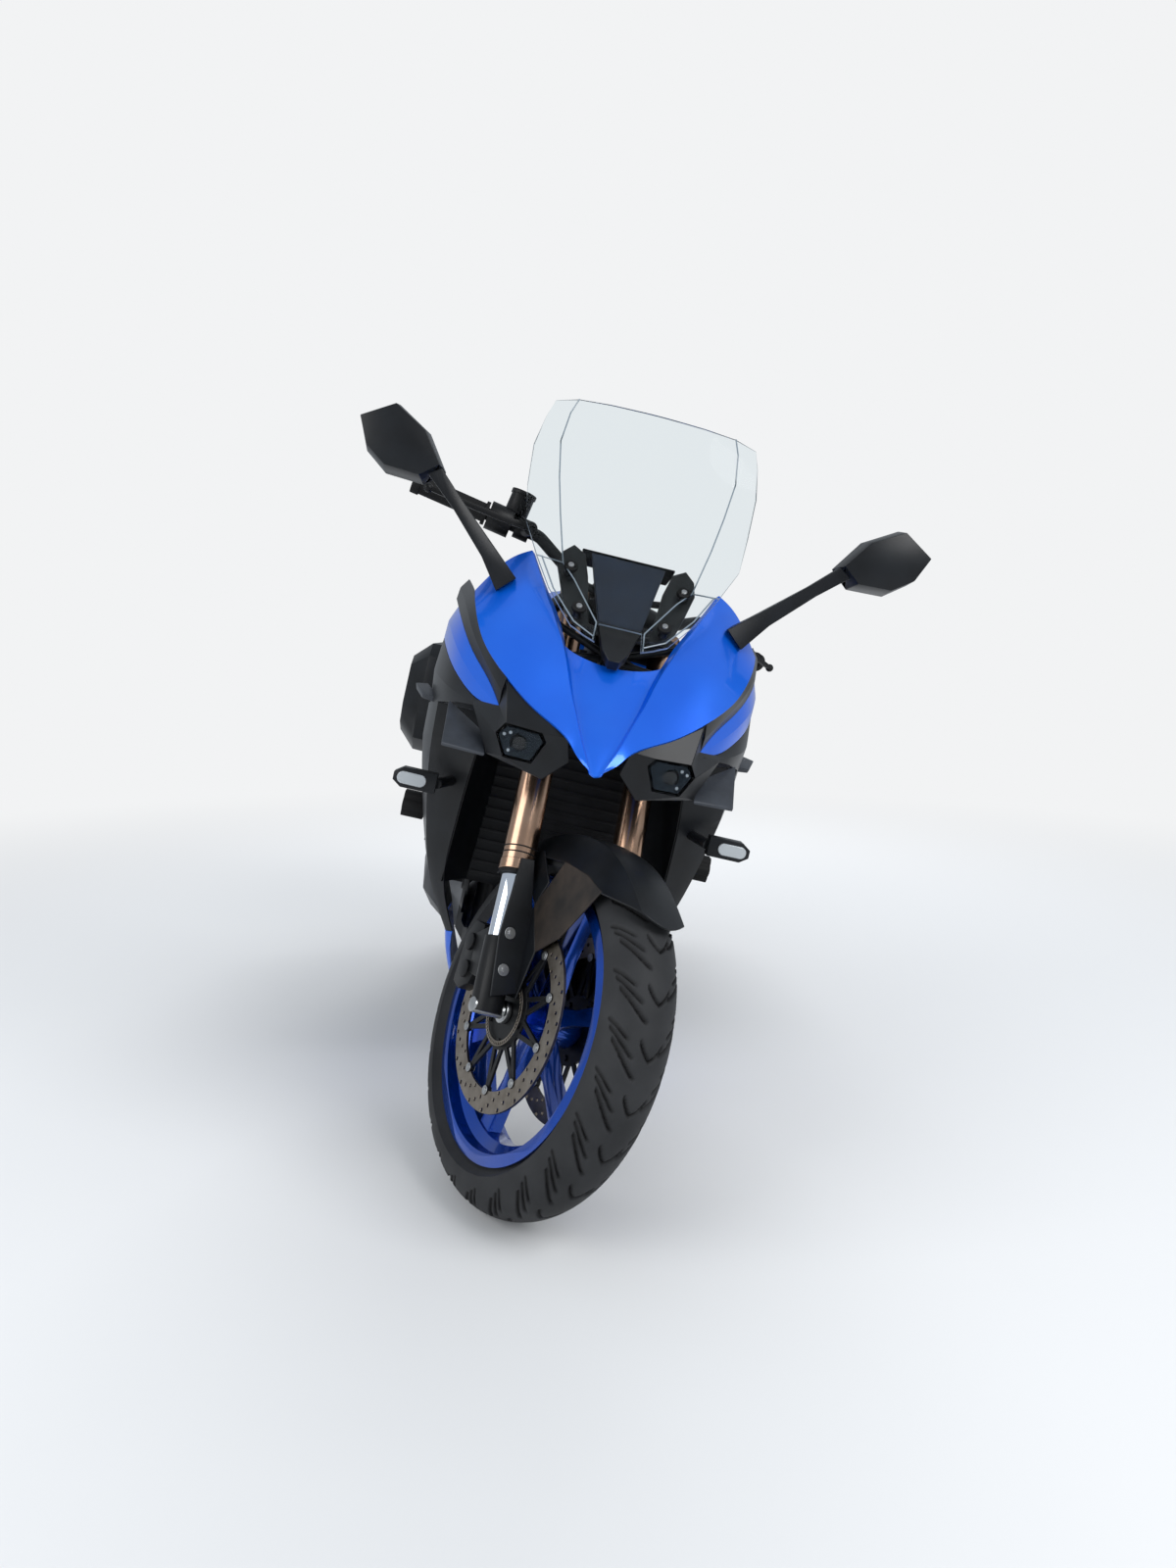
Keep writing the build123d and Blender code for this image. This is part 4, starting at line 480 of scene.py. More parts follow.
def from_axle(rows):
    """Rows of points with x measured ahead of the front axle, turned to x from the rear axle."""
    return [[(F + x, y, z) for x, y, z in row] for row in rows]


def grid(bm, rows, creases=()):
    """Adds a grid on the rows' points (x, y, z in mm). Creases name columns, or rows as negatives."""
    across_n, along_n = len(rows[0]), len(rows)
    made = bmesh.ops.create_grid(bm, x_segments=across_n - 1, y_segments=along_n - 1, size=1)["verts"]
    layer = bm.edges.layers.float.get("crease_edge") or bm.edges.layers.float.new("crease_edge")
    places = {}
    for k, vert in enumerate(made):
        row, column = divmod(k, across_n)
        vert.co = Vector(rows[row][column]) / 1000
        places[vert] = (row, column)
    for edge in {e for v in made for e in v.link_edges}:
        (row_a, column_a), (row_b, column_b) = places[edge.verts[0]], places[edge.verts[1]]
        if (column_a == column_b and column_a in creases) or (row_a == row_b and -row_a - 1 in creases):
            edge[layer] = 0.95


def mirror_over(bm):
    """Adds the mirror image and welds the two where they meet, within 0.4 mm."""
    mirrored(bm)
    bmesh.ops.remove_doubles(bm, verts=bm.verts, dist=0.0004)


def shell(name, bm, slot, replace=(), wall=3.0, levels=2, body="chassis", bevel=0.0, rim=None):
    """Parks a net of points, gives it a wall, and lets subdivision round it."""
    park(bm, body)
    finishes = [MATERIAL[slot], rim] if rim else MATERIAL[slot]
    piece = show(name, bm, finishes, body, replace, smooth=180)
    skin = piece.modifiers.new("round", "SUBSURF")
    skin.levels = skin.render_levels = levels
    skin.boundary_smooth = "PRESERVE_CORNERS"
    thick = piece.modifiers.new("wall", "SOLIDIFY")
    thick.thickness, thick.offset, thick.material_offset_rim = wall / 1000, -1, 1 if rim else 0
    if bevel:
        soften(piece, bevel, 50)


def outward(bm, middle=(F - 500, 0, 620)):
    """Turns all faces of a net to look away from a point inside the machine."""
    middle = Vector(middle) / 1000
    for face in bm.faces:
        if (face.calc_center_median() - middle).dot(face.normal) < 0:
            face.normal_flip()


# %% [markdown]
# The nose is one lacquered shell: a middle panel set a little lower, two crest lines that run from the tip up
# into the horns, and side faces that fall away to the lamps.

# %% Nose
NOSE = from_axle([
    # middle line, base of the middle panel, foot of the crest, crest, side, lower edge
    [(89, 0, 713), (88, 3, 714), (87, 6, 716), (86, 9, 718), (83, 11, 720), (80, 13, 721)],
    [(66, 0, 739), (63, 13, 740), (61, 19, 743), (62, 25, 748), (64, 31, 743), (66, 35, 736)],
    [(47, 0, 759), (43, 22, 760), (41, 29, 763), (42, 35, 770), (48, 42, 763), (54, 47, 757)],
    [(18, 0, 785), (12, 33, 786), (11, 41, 790), (13, 47, 800), (26, 66, 788), (41, 79, 774)],
    [(-9, 0, 806), (-16, 44, 809), (-16, 53, 814), (-12, 60, 827), (8, 90, 810), (25, 116, 790)],
    [(-50, 0, 844), (-58, 54, 851), (-59, 66, 859), (-53, 75, 875), (-28, 122, 860), (-4, 164, 826)],
    [(-76, 0, 869), (-85, 62, 880), (-89, 80, 890), (-84, 92, 908), (-62, 152, 898), (-52, 202, 858)],
])
# the horn carries on from the nose's last row
HORN = [NOSE[-1][2:]] + from_axle([
    # foot of the crest, crest, side, lower edge
    [(-108, 92, 922), (-112, 106, 932), (-98, 166, 928), (-84, 220, 884)],
    [(-146, 114, 956), (-148, 127, 966), (-138, 180, 958), (-116, 233, 912)],
    [(-190, 140, 994), (-192, 148, 1004), (-182, 196, 988), (-150, 241, 932)],
    [(-230, 161, 1031), (-232, 167, 1037), (-226, 206, 1016), (-178, 245, 946)],
])
bm = bmesh.new()
grid(bm, NOSE, creases=(2, 3))
grid(bm, HORN, creases=(0, 1))
mirror_over(bm)
outward(bm)
shell("nose_shell", bm, "blue_paint", ["nose_cowl"], wall=3.5, levels=3, bevel=0.8)
print("nose in place")

# %% [markdown]
# Below the nose, black cheeks carry the lamps and run back to the doors of the fairing, and blue blades lie along
# them. The flanks are black shells with an inner lip, and a blue shell closes them below.

# %% Cheeks, blades, flanks and belly
CHEEK = from_axle([
    # top edge along the nose, lower edge along the blade
    [(-4, 160, 822), (-8, 163, 800), (-12, 162, 778)],
    [(-60, 205, 862), (-62, 198, 836), (-62, 186, 812)],
    [(-118, 232, 912), (-119, 234, 880), (-118, 226, 846)],
    [(-176, 245, 946), (-176, 254, 920), (-172, 256, 892)],
    [(-330, 268, 968), (-326, 280, 950), (-320, 282, 928)],
])
BLADE = from_axle([
    # inner edge along the cheek, ridge, outer edge
    [(-12, 162, 778), (-12, 163, 776), (-12, 164, 774)],
    [(-62, 186, 812), (-61, 197, 796), (-58, 200, 774)],
    [(-118, 226, 846), (-117, 234, 824), (-113, 232, 796)],
    [(-172, 256, 892), (-171, 264, 860), (-168, 262, 822)],
    [(-320, 282, 928), (-320, 294, 900), (-320, 296, 868)],
    [(-520, 276, 886), (-526, 288, 866), (-530, 290, 842)],
])
SKIRT = from_axle([
    # blade's outer edge, a soft ridge, lower edge on the flank
    [(-12, 164, 774), (-12, 167, 772), (-12, 170, 770)],
    [(-58, 200, 773), (-58, 208, 770), (-58, 212, 766)],
    [(-113, 232, 795), (-113, 240, 778), (-112, 240, 760)],
    [(-168, 262, 821), (-168, 267, 786), (-166, 262, 752)],
    [(-320, 296, 867), (-320, 302, 804), (-320, 296, 736)],
    [(-530, 290, 841), (-545, 295, 770), (-560, 284, 690)],
])
SIDE = from_axle([
    # inner lip, front edge, flank, ridge, rear flank
    [(-190, 176, 748), (-196, 268, 749), (-320, 296, 736), (-440, 290, 713), (-560, 284, 690)],
    [(-186, 184, 684), (-204, 266, 690), (-330, 296, 676), (-470, 290, 652), (-600, 272, 626)],
    [(-182, 190, 618), (-212, 262, 630), (-360, 288, 612), (-500, 278, 590), (-640, 258, 560)],
    [(-212, 194, 520), (-234, 244, 526), (-390, 264, 508), (-520, 252, 492), (-644, 236, 476)],
    [(-244, 198, 430), (-262, 224, 430), (-400, 234, 420), (-520, 228, 408), (-640, 216, 400)],
    [(-300, 158, 330), (-312, 170, 326), (-410, 180, 321), (-510, 182, 315), (-600, 176, 310)],
])
BELLY = from_axle([
    [(-300, 158, 329), (-312, 170, 325), (-440, 182, 319), (-600, 176, 309)],
    [(-340, 156, 284), (-352, 164, 280), (-460, 172, 270), (-612, 164, 262)],
    [(-380, 146, 236), (-392, 150, 232), (-480, 150, 220), (-620, 146, 214)],
    [(-440, 128, 166), (-450, 130, 164), (-520, 130, 158), (-640, 126, 156)],
])
# name, rows, creases, slot, node
for name, rows, creases, slot, node in (("cheek_shells", CHEEK, (1,), "black_plastic", "cheek_panels"),
                                        ("blade_shells", BLADE, (1,), "blue_paint", "blade_panels"),
                                        ("skirt_shells", SKIRT, (1,), "black_plastic", "blade_panels"),
                                        ("flank_shells", SIDE, (1, -2), "black_plastic", "side_cowls"),
                                        ("belly_shells", BELLY, (1,), "blue_paint", "belly_cowls")):
    bm = bmesh.new()
    grid(bm, rows, creases)
    mirror_over(bm)
    outward(bm)
    shell(name, bm, slot, [node], bevel=0.6)
print("fairing sides in place")

# %% [markdown]
# The screen is one sheet of clear polycarbonate, 3.5 mm thick, folded along two lines so that its sides stand as
# ears. It is a grid with creased fold lines, and a notch at the bottom lets the black beak through.

# %% Screen
SCREEN = from_axle([
    # middle, inner fold, outer fold, edge
    [(-53, 38, 908), (-63, 58, 915), (-69, 70, 921), (-74, 80, 925)],
    [(-86, 36, 938), (-92, 62, 940), (-97, 80, 945), (-99, 100, 947)],
    [(-108, 36, 964), (-114, 68, 962), (-120, 92, 968), (-129, 127, 978)],
    [(-160, 36, 1014), (-172, 80, 1018), (-176, 112, 1024), (-166, 157, 1026)],
    [(-208, 30, 1096), (-220, 84, 1100), (-226, 134, 1106), (-210, 188, 1082)],
    [(-262, 26, 1172), (-270, 88, 1174), (-278, 150, 1174), (-286, 202, 1150)],
    [(-306, 24, 1248), (-314, 92, 1246), (-322, 162, 1242), (-334, 208, 1228)],
    [(-336, 22, 1304), (-338, 92, 1302), (-336, 156, 1296), (-334, 197, 1280)],
    [(-352, 20, 1333), (-348, 88, 1330), (-342, 146, 1324), (-335, 186, 1311)],
])
bm = bmesh.new()
grid(bm, SCREEN, creases=(2,))
mirror_over(bm)
# above the notch, the two halves' inner edges are joined across the middle
seam = [e for e in bm.edges if len(e.link_faces) == 1 and
        all(abs(v.co.y) < 0.0365 and v.co.z > 0.93 for v in e.verts)]
bmesh.ops.bridge_loops(bm, edges=seam)
corner = bm.verts.layers.float.get("crease_vert") or bm.verts.layers.float.new("crease_vert")
for vert in bm.verts:
    if vert.is_boundary and abs(vert.co.y) > 0.03:
        vert[corner] = 1.0
bmesh.ops.recalc_face_normals(bm, faces=bm.faces)
outward(bm)
shell("screen_sheet", bm, "clear_screen", ["windscreen"], wall=3.5, rim=MATERIAL["screen_edge"])

# The folds and the raised outlines of the ears show as fine grey lines.
bm = bmesh.new()
FACING = Vector((0.68, 0, 0.73))
folds = [[row[2] for row in SCREEN[3:]]] + from_axle([
    [(-166, 157, 1026), (-176, 112, 1024), (-152, 88, 1000), (-86, 40, 938), (-60, 41, 908)],
    [(-62, 41, 915), (-80, 76, 931), (-128, 119, 977), (-166, 149, 1026)],
])
for line in folds:
    line = [Vector(c) + FACING * 0.6 for c in line]
    for start, end in zip(line, line[1:]):
        rod(bm, start, end, 1.3, sides=8)
settle("screen_fold_lines", bm, "clear_screen", "screen_edge", bevel=0)
print("screen in place")

# %% [markdown]
# A road tyre's tread is a rounded band with curved grooves that run from near the middle out to the shoulder,
# alternating from side to side. The section is spun round the axle in fine steps, and every vertex that lies on a
# groove's line is pushed inwards, so the tread is real geometry and not only a bump.

# %% Tyres


def spun(outline, steps):
    """New mesh: an outline of pairs (radius, y) in mm, turned once about the axle."""
    bm = bmesh.new()
    verts = [bm.verts.new((r / 1000, y / 1000, 0)) for r, y in outline]
    edges = [bm.edges.new(pair) for pair in zip(verts, verts[1:])]
    bmesh.ops.spin(bm, geom=verts + edges, cent=(0, 0, 0), axis=(0, 1, 0), dvec=(0, 0, 0), angle=2 * pi, steps=steps,
                   use_merge=True, use_duplicate=False)
    bmesh.ops.remove_doubles(bm, verts=bm.verts, dist=0.00005)  # the last step meets the first
    return bm


# start and end across the tread, slant in pitches, bend, phase, shift of the right side, half width in mm
GROOVES = [(-0.1, 0.32, 0.34, 1.8, 0.00, 0.0, 2.0), (0.24, 0.86, 0.62, 1.4, 0.16, 0.5, 2.2),
           (0.40, 0.92, 0.50, 1.3, 0.50, 0.5, 1.9), (0.56, 0.95, 0.36, 1.2, 0.80, 0.5, 1.6)]
SLOPE_MM, SLOPE_OUT_MM = 2.2, 1.3  # the slope down into a groove, and how far it reaches past the half width
FADE = 0.03  # share of the tread over which a groove runs out at its ends
BULGE = 1.15  # how much longer the tread's curve is than its half width


def tyre(name, node, centre, radius, width, widest, rim_w, count, depth, body):
    """Tyre: outline spun about the axle, then grooves pressed in. Sizes in mm."""
    half = width / 2
    seat, flange = 216.3, 230  # radii at which a 17 inch rim holds the tyre
    bead = rim_w / 2 - 7.5
    outline = [(seat, bead - 12), (seat, bead), (flange, bead), (flange + 4, bead + 3)]
    steps = 72
    for k in range(steps + 1):
        a = pi / 2 * (1 - 2 * k / steps)
        outline.append((widest + (radius - widest) * cos(a), half * sin(a)))
    outline += [(flange + 4, -bead - 3), (flange, -bead), (seat, -bead), (seat, 12 - bead)]
    bm = spun(outline, 840)
    pitch = 2 * pi * radius / count
    groove = bm.verts.layers.float.new("groove")
    for vert in bm.verts:
        r, share = hypot(vert.co.x, vert.co.z) * 1000, vert.co.y * 1000 / half
        if r < widest + 6:
            continue
        turn = atan2(vert.co.z, vert.co.x) / (2 * pi) * count
        press = 0.0
        for start, end, slant, bend, phase, shift, half_mm in GROOVES:
            t = (abs(share) - start) / (end - start)
            if 0 < t < 1:
                slope = slant * bend * t ** (bend - 1) / (end - start) * pitch / (BULGE * half)
                off = (turn + (0.0 if share > 0 else shift) - phase - slant * t ** bend + 0.5) % 1.0 - 0.5
                off_mm = abs(off) * pitch / hypot(1, slope)
                fade = min(1.0, (abs(share) - start) / FADE, (end - abs(share)) / FADE)
                press = max(press, fade * max(0.0, min(1.0, (half_mm + SLOPE_OUT_MM - off_mm) / SLOPE_MM)))
        # the share is also kept for the painted shade in the grooves
        vert[groove] = press
        vert.co.x *= 1 - press * depth / r
        vert.co.z *= 1 - press * depth / r
    bmesh.ops.translate(bm, verts=bm.verts, vec=centre / 1000)
    park(bm, body)
    bmesh.ops.recalc_face_normals(bm, faces=bm.faces)
    piece = show(name, bm, MATERIAL["tyre_rubber"], body, [node], smooth=50)
    print(name, len(piece.data.vertices), "vertices")


tyre("front_tread", "front_tyre", FRONT_WHEEL, FRONT_R, 120, 244, 98, 24, 4.5, "front_wheel")
tyre("rear_tread", "rear_tyre", REAR_WHEEL, REAR_R, 190, 250, 166, 18, 5.0, "rear_wheel")

# %% [markdown]
# A brake disc is a ground steel ring with rows of drilled holes, carried on small round bobbins by a black
# spider. The ring starts as a band of small cells; chosen cells are inset, their corners cut, and the middle taken
# out, which leaves round holes through the whole thickness.

# %% Drilled rings
CELL_AREA, HOLE_AREA = 0.00008, 0.00006  # square metres, under which a face is an inset cell, and then a hole


def drilled_ring(name, centre, radius, ring_w, y, thick, cells, rows, pick, body):
    """Ring of cells about a line along Y with holes where pick(row, cell) says so."""
    bm = spun([(radius - ring_w + ring_w * k / rows, 0) for k in range(rows + 1)], cells)
    chosen = []
    for face in bm.faces:
        middle = face.calc_center_median()
        cell = int((atan2(middle.z, middle.x) / (2 * pi) % 1.0) * cells)
        row = int((hypot(middle.x, middle.z) * 1000 - radius + ring_w) / ring_w * rows)
        if pick(row, cell):
            chosen.append(face)
    bmesh.ops.inset_individual(bm, faces=chosen, thickness=0.0006, depth=0)
    for face in chosen:
        bmesh.ops.subdivide_edges(bm, edges=face.edges[:], cuts=1)
    for face in [f for f in bm.faces if len(f.verts) == 8 and f.calc_area() < CELL_AREA]:
        middle = face.calc_center_median()
        reach = min((v.co - middle).length for v in face.verts)
        for vert in face.verts:
            vert.co = middle + (vert.co - middle).normalized() * reach
    holes = [f for f in bm.faces if len(f.verts) == 8 and f.calc_area() < HOLE_AREA]
    bmesh.ops.delete(bm, geom=holes, context="FACES")
    bmesh.ops.translate(bm, verts=bm.verts, vec=(centre + Vector((0, y, 0))) / 1000)
    park(bm, body)
    piece = show(name, bm, MATERIAL["disc_steel"], body, smooth=30)
    wall = piece.modifiers.new("wall", "SOLIDIFY")
    wall.thickness, wall.offset = thick / 1000, 0
    soften(piece, 0.3, 60, segments=1)
    return piece, len(holes)


# %% [markdown]
# A spider carries the ring: a boss round the hub, pairs of arms that meet at each bobbin, and five bolts. Each arm is
# a cube stretched between two points. These sizes are in metres.

# %% Spiders


def disc(bm, radius, thick, sides, spot=(0, 0, 0)):
    """Adds a round plate that faces along the axle."""
    verts = bmesh.ops.create_cone(bm, cap_ends=True, segments=sides, radius1=radius, radius2=radius,
                                  depth=thick)["verts"]
    bmesh.ops.rotate(bm, verts=verts, cent=(0, 0, 0), matrix=Matrix.Rotation(pi / 2, 3, "X"))
    bmesh.ops.translate(bm, verts=verts, vec=spot)


def around(radius, angle):
    """Point on a circle about the axle."""
    return Vector((cos(angle), 0, sin(angle))) * radius


def spider(name, centre, bobbin_r, y, bobbins, body):
    """Carrier: a boss, pairs of arms that meet at each bobbin, the bobbins and five bolts."""
    bm = bmesh.new()
    disc(bm, 0.058, 0.005, 48)
    for k in range(bobbins):
        a = 2 * pi * k / bobbins
        tip = around(bobbin_r, a) / 1000
        for side in (-1, 1):
            root = around(0.050, a + side * pi / bobbins * 0.75)
            arm = bmesh.ops.create_cube(bm, size=1)["verts"]
            bmesh.ops.scale(bm, verts=arm, vec=((tip - root).length, 0.0046, 0.008))
            turn = Matrix.Rotation(-atan2(tip.z - root.z, tip.x - root.x), 3, "Y")
            bmesh.ops.rotate(bm, verts=arm, cent=(0, 0, 0), matrix=turn)
            bmesh.ops.translate(bm, verts=arm, vec=(root + tip) / 2)
        disc(bm, 0.0078, 0.0075, 20, tip)
    for k in range(5):
        disc(bm, 0.006, 0.011, 6, around(0.046, 2 * pi * k / 5))
    bmesh.ops.translate(bm, verts=bm.verts, vec=(centre + Vector((0, y, 0))) / 1000)
    park(bm, body)
    soften(show(name, bm, MATERIAL["black_metal"], body), 0.5, 40)


# %% [markdown]
# The two front discs are alike, one on each side of the hub, and the rear one is smaller. Holes that step sideways
# from row to row sweep the whole pad clean as the ring turns.

# %% Brake discs


def every_sixth(row, cell):
    """Holes in slanted lines across the ring."""
    return (cell + 2 * row) % 6 == 0


for side, word in ((-1, "right"), (1, "left")):
    ring, holes = drilled_ring("front_disc_" + word, FRONT_WHEEL, 155, 34, side * 64, 5, 120, 4, every_sixth,
                               "front_wheel")
    spider("front_spider_" + word, FRONT_WHEEL, 121, side * 64, 10, "front_wheel")
    if side < 0:
        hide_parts("front_discs")
ring, holes = drilled_ring("rear_disc_ring", REAR_WHEEL, 120, 30, -105, 5, 96, 4, every_sixth, "rear_wheel")
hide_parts("rear_disc")
spider("rear_spider", REAR_WHEEL, 91, -105, 5, "rear_wheel")
print("discs drilled", holes)

# %% [markdown]
# Pale steel buttons hold each disc to its carrier, and a thin ring full of slots, which the wheel speed sensor reads,
# sits on the hub.

# %% Disc buttons and sensor ring
for side, word in ((-1, "right"), (1, "left")):
    drilled_ring("sensor_ring_" + word, FRONT_WHEEL, 53, 8, side * 71, 1.6, 56, 1, lambda row, cell: True,
                 "front_wheel")
    bm = bmesh.new()
    for k in range(10):
        spot = FRONT_WHEEL + around(121, 2 * pi * k / 10) + Vector((0, side * 64, 0))
        for reach, radius, sides in ((5, 7.2, 24), (6, 4.4, 20)):
            rod(bm, spot - Vector((0, reach, 0)), spot + Vector((0, reach, 0)), radius, sides=sides)
    settle("disc_buttons_" + word, bm, "disc_steel", "zinc", body="front_wheel", bevel=0.4, both=False)
print("disc buttons in place")

# %% [markdown]
# Inner panels close the gap between the flanks and the radiator, so that no daylight shows through beside it.

# %% Inner panels
bm = bmesh.new()
LIP, = from_axle([[(-192, 177, 747), (-188, 184, 684), (-185, 190, 618), (-214, 194, 520), (-246, 198, 432)]])
grid(bm, [[Vector(c), Vector((F - 262, (c[1] + 150) / 2 + 12, c[2])), Vector((F - 330, 146, c[2]))] for c in LIP])
mirror_over(bm)
outward(bm, (F - 100, 0, 600))
shell("inner_panels", bm, "black_plastic", wall=2.5, levels=1)
print("inner panels in place")

# %% [markdown]
# The front mudguard is a folded shell over the tyre with a pointed front. A dusty side plate hangs from it, and a
# guard plate stands in front of each fork leg, held by bolts in two round recesses. It steers with the fork, so its
# points are given up the legs, ahead of them and to one side.

# %% Front mudguard
MUDGUARD_R, MUDGUARD_HALF = FRONT_R + 21, 76.3
rows = []
# angle at the crown, the shoulder and the edge, and how deep the edge hangs
for crown, shoulder, edge, deep in ((24, 29, 39, 42), (44, 46, 51, 52), (64, 66, 68, 64), (92, 92, 92, 58),
                                    (119, 118, 116, 54)):
    rows.append([on_fork(r * sin(radians(a)), r * cos(radians(a)), y) for a, r, y in
                 ((crown, MUDGUARD_R, 0), (shoulder, MUDGUARD_R - 6, MUDGUARD_HALF - 36),
                  (edge, MUDGUARD_R - deep, MUDGUARD_HALF))])
bm = bmesh.new()
grid(bm, rows, creases=(1,))
mirror_over(bm)
outward(bm, FRONT_WHEEL)
shell("mudguard_shell", bm, "black_plastic", ["front_fender"], body="steering", bevel=0.6)


def side_plate(bm, points):
    """3 mm plate in a plane beside the wheel, from pairs (ahead of the legs, up the legs)."""
    plate(bm, [on_fork(up, ahead, MUDGUARD_HALF) for ahead, up in points], (0, -3, 0))


bm = bmesh.new()
side_plate(bm, [(102, 236), (172, 207), (217, 177), (126, 112), (64, 93), (33, 170)])
settle("mudguard_sides", bm, "black_plastic", "dusty_black", body="steering", bevel=0.8)
bm = bmesh.new()
side_plate(bm, [(-8, 26), (34, 20), (64, 93), (33, 170), (12, 130), (-10, 66)])
side_plate(bm, [(33, 170), (64, 205), (30, 262), (-24, 262), (-24, 215), (8, 205)])
guard = [(MUDGUARD_HALF - 3, 28), (118, 14), (121, 48), (126, 107), (115, 238), (91, 241), (79, 169),
         (MUDGUARD_HALF - 3, 160)]
plate(bm, [on_fork(up, 28, y) for y, up in guard], AHEAD * 4)
for up in (48, 92):
    rod(bm, on_fork(up, 0, 75), on_fork(up, 0, 84), 9)
settle("mudguard_guards", bm, "black_plastic", body="steering", bevel=1.2)
bm = bmesh.new()
for y, up in ((108, 116), (106, 58)):
    rod(bm, on_fork(up, 31, y), on_fork(up, 33.2, y), 9.5)
    rod(bm, on_fork(up, 33, y), on_fork(up, 36, y), 4.5, sides=6)
settle("guard_bolts", bm, "black_metal", "zinc", body="steering", bevel=0.4)
print("mudguard in place")

# %% [markdown]
# The fork's bronze tubes end in a turned collar over a rubber dust seal, with two fine dark rings above it.

# %% Fork collars
FORK_Y, TUBE_R, TUBE_LOW = 104, 27, 222
bm = bmesh.new()
rod(bm, on_fork(TUBE_LOW - 1, 0, FORK_Y), on_fork(TUBE_LOW + 16, 0, FORK_Y), TUBE_R + 1.6, sides=64)
settle("fork_collars", bm, "gold_anodised", body="steering", bevel=0.8)
bm = bmesh.new()
rod(bm, on_fork(TUBE_LOW - 7, 0, FORK_Y), on_fork(TUBE_LOW - 1, 0, FORK_Y), TUBE_R - 0.5, sides=64)
for up in (26, 36):
    rod(bm, on_fork(TUBE_LOW + up, 0, FORK_Y), on_fork(TUBE_LOW + up + 2.4, 0, FORK_Y), TUBE_R + 0.4, sides=64)
settle("fork_seals", bm, "grip_rubber", body="steering", bevel=0.3)
print("fork collars in place")

# %% [markdown]
# Behind the screen a black beak closes the gap between its lower corners, and a blue-grey panel rises from it towards
# the rider's display. Both are blocks between two loops of corners.

# %% Beak and panel
bm = bmesh.new()
beak, keel, foot, nose_end, panel = from_axle([
    [(-54, 9, 884), (-70, 22, 899), (-104, 37, 941)],
    [(-100, 16, 884), (-114, 16, 930), (-236, 16, 1046), (-250, 16, 1046), (-160, 16, 905), (-140, 16, 872)],
    [(-212, 16, 850), (-212, 16, 892), (-212, -16, 892), (-212, -16, 850)],
    [(-112, 12, 870), (-112, 12, 896), (-112, -12, 896), (-112, -12, 870)],
    [(-106, 36, 941), (-235, 66, 1057), (-235, -66, 1057), (-106, -36, 941)],
])
beak += [(x, -y, z) for x, y, z in reversed(beak)]
between(bm, beak, [(x - 12, y * 0.9, z - 14) for x, y, z in beak])
plate(bm, keel, (0, -32, 0))
between(bm, foot, nose_end)
settle("beak", bm, "black_plastic", replace=["fairing_stay"], bevel=1.2, both=False)
bm = bmesh.new()
between(bm, panel, [(x - 8, y * 0.97, z - 10) for x, y, z in panel])
settle("middle_panel", bm, "black_plastic", "blue_grey", bevel=1.5, both=False)
print("beak and panel in place")

# %% [markdown]
# The display's case tilts towards the rider. The screen's brackets lie 5 mm behind the sheet, on rods that run in to
# the machine's middle and out to the cheeks, and each bolt stands in a rubber boss.

# %% Display and screen brackets
CASE_FRONT, CASE_BACK, BRACKET, BOLTS = from_axle([
    [(-240, 84, 1062), (-240, -84, 1062), (-246, -80, 1046), (-246, 80, 1046)],
    [(-276, 80, 1046), (-276, -80, 1046), (-272, -76, 1034), (-272, 76, 1034)],
    [(-90, 50, 932), (-100, 62, 930), (-116, 92, 948), (-154, 108, 990), (-192, 121, 1026), (-206, 116, 1050),
     (-216, 99, 1066), (-210, 77, 1054), (-186, 65, 1016)],
    [(-174, 98, 1022), (-106, 72, 956)],
])
BOLTS = [Vector(bolt) for bolt in BOLTS]
bm = bmesh.new()
between(bm, CASE_FRONT, CASE_BACK)
settle("display_case", bm, "black_plastic", bevel=2.0, both=False)
bm = bmesh.new()
between(bm, [Vector(c) - FACING * 5 for c in BRACKET], [Vector(c) - FACING * 10 for c in BRACKET])
for bolt in BOLTS:
    foot = bolt - FACING * 10 - Vector((10, 0, 16))
    rod(bm, bolt - FACING * 9, foot, 8)
    rod(bm, foot, (foot.x + 4, 14, foot.z - 12), 6)
rod(bm, (F - 144, 10, 890), (F - 146, 150, 942), 6)
rod(bm, (F - 144, 10, 884), (F - 124, 224, 862), 6)
settle("screen_brackets", bm, "black_plastic", bevel=1.5)
bm = bmesh.new()
for bolt in BOLTS:
    rod(bm, bolt - FACING * 4.5, bolt + FACING * 2.6, 12, sides=40)
settle("screen_bosses", bm, "grip_rubber", bevel=1.2)
bm = bmesh.new()
for bolt in BOLTS:
    rod(bm, bolt + FACING * 2.4, bolt + FACING * 5.4, 5.4, 4.6, sides=24)
settle("screen_bolts", bm, "black_metal", "zinc", bevel=0.5)
print("screen mountings in place")

# %% [markdown]
# A black mask with a brow and a lower lip stands round each six-sided lamp, under a clear cover. Its front is bridged
# from the mask's outline to the lamp's.

# %% Lamp masks
MASK, LAMP = from_axle([
    [(46, 48, 757), (37, 79, 775), (22, 112, 789), (-4, 157, 817), (-9, 161, 777), (-44, 202, 767), (4, 165, 702),
     (34, 73, 685), (44, 40, 720)],
    [(35, 85, 740), (32, 92, 750), (24, 142, 752), (22, 152, 738), (27, 136, 709), (33, 98, 709)],
])
LAMP_MIDDLE = Vector((F + 29, 118, 731))


def scaled(corners, share, ahead):
    """Corners moved away from the lamp's middle by a share, then ahead."""
    return [LAMP_MIDDLE + (Vector(c) - LAMP_MIDDLE) * share + Vector((ahead, 0, 0)) for c in corners]


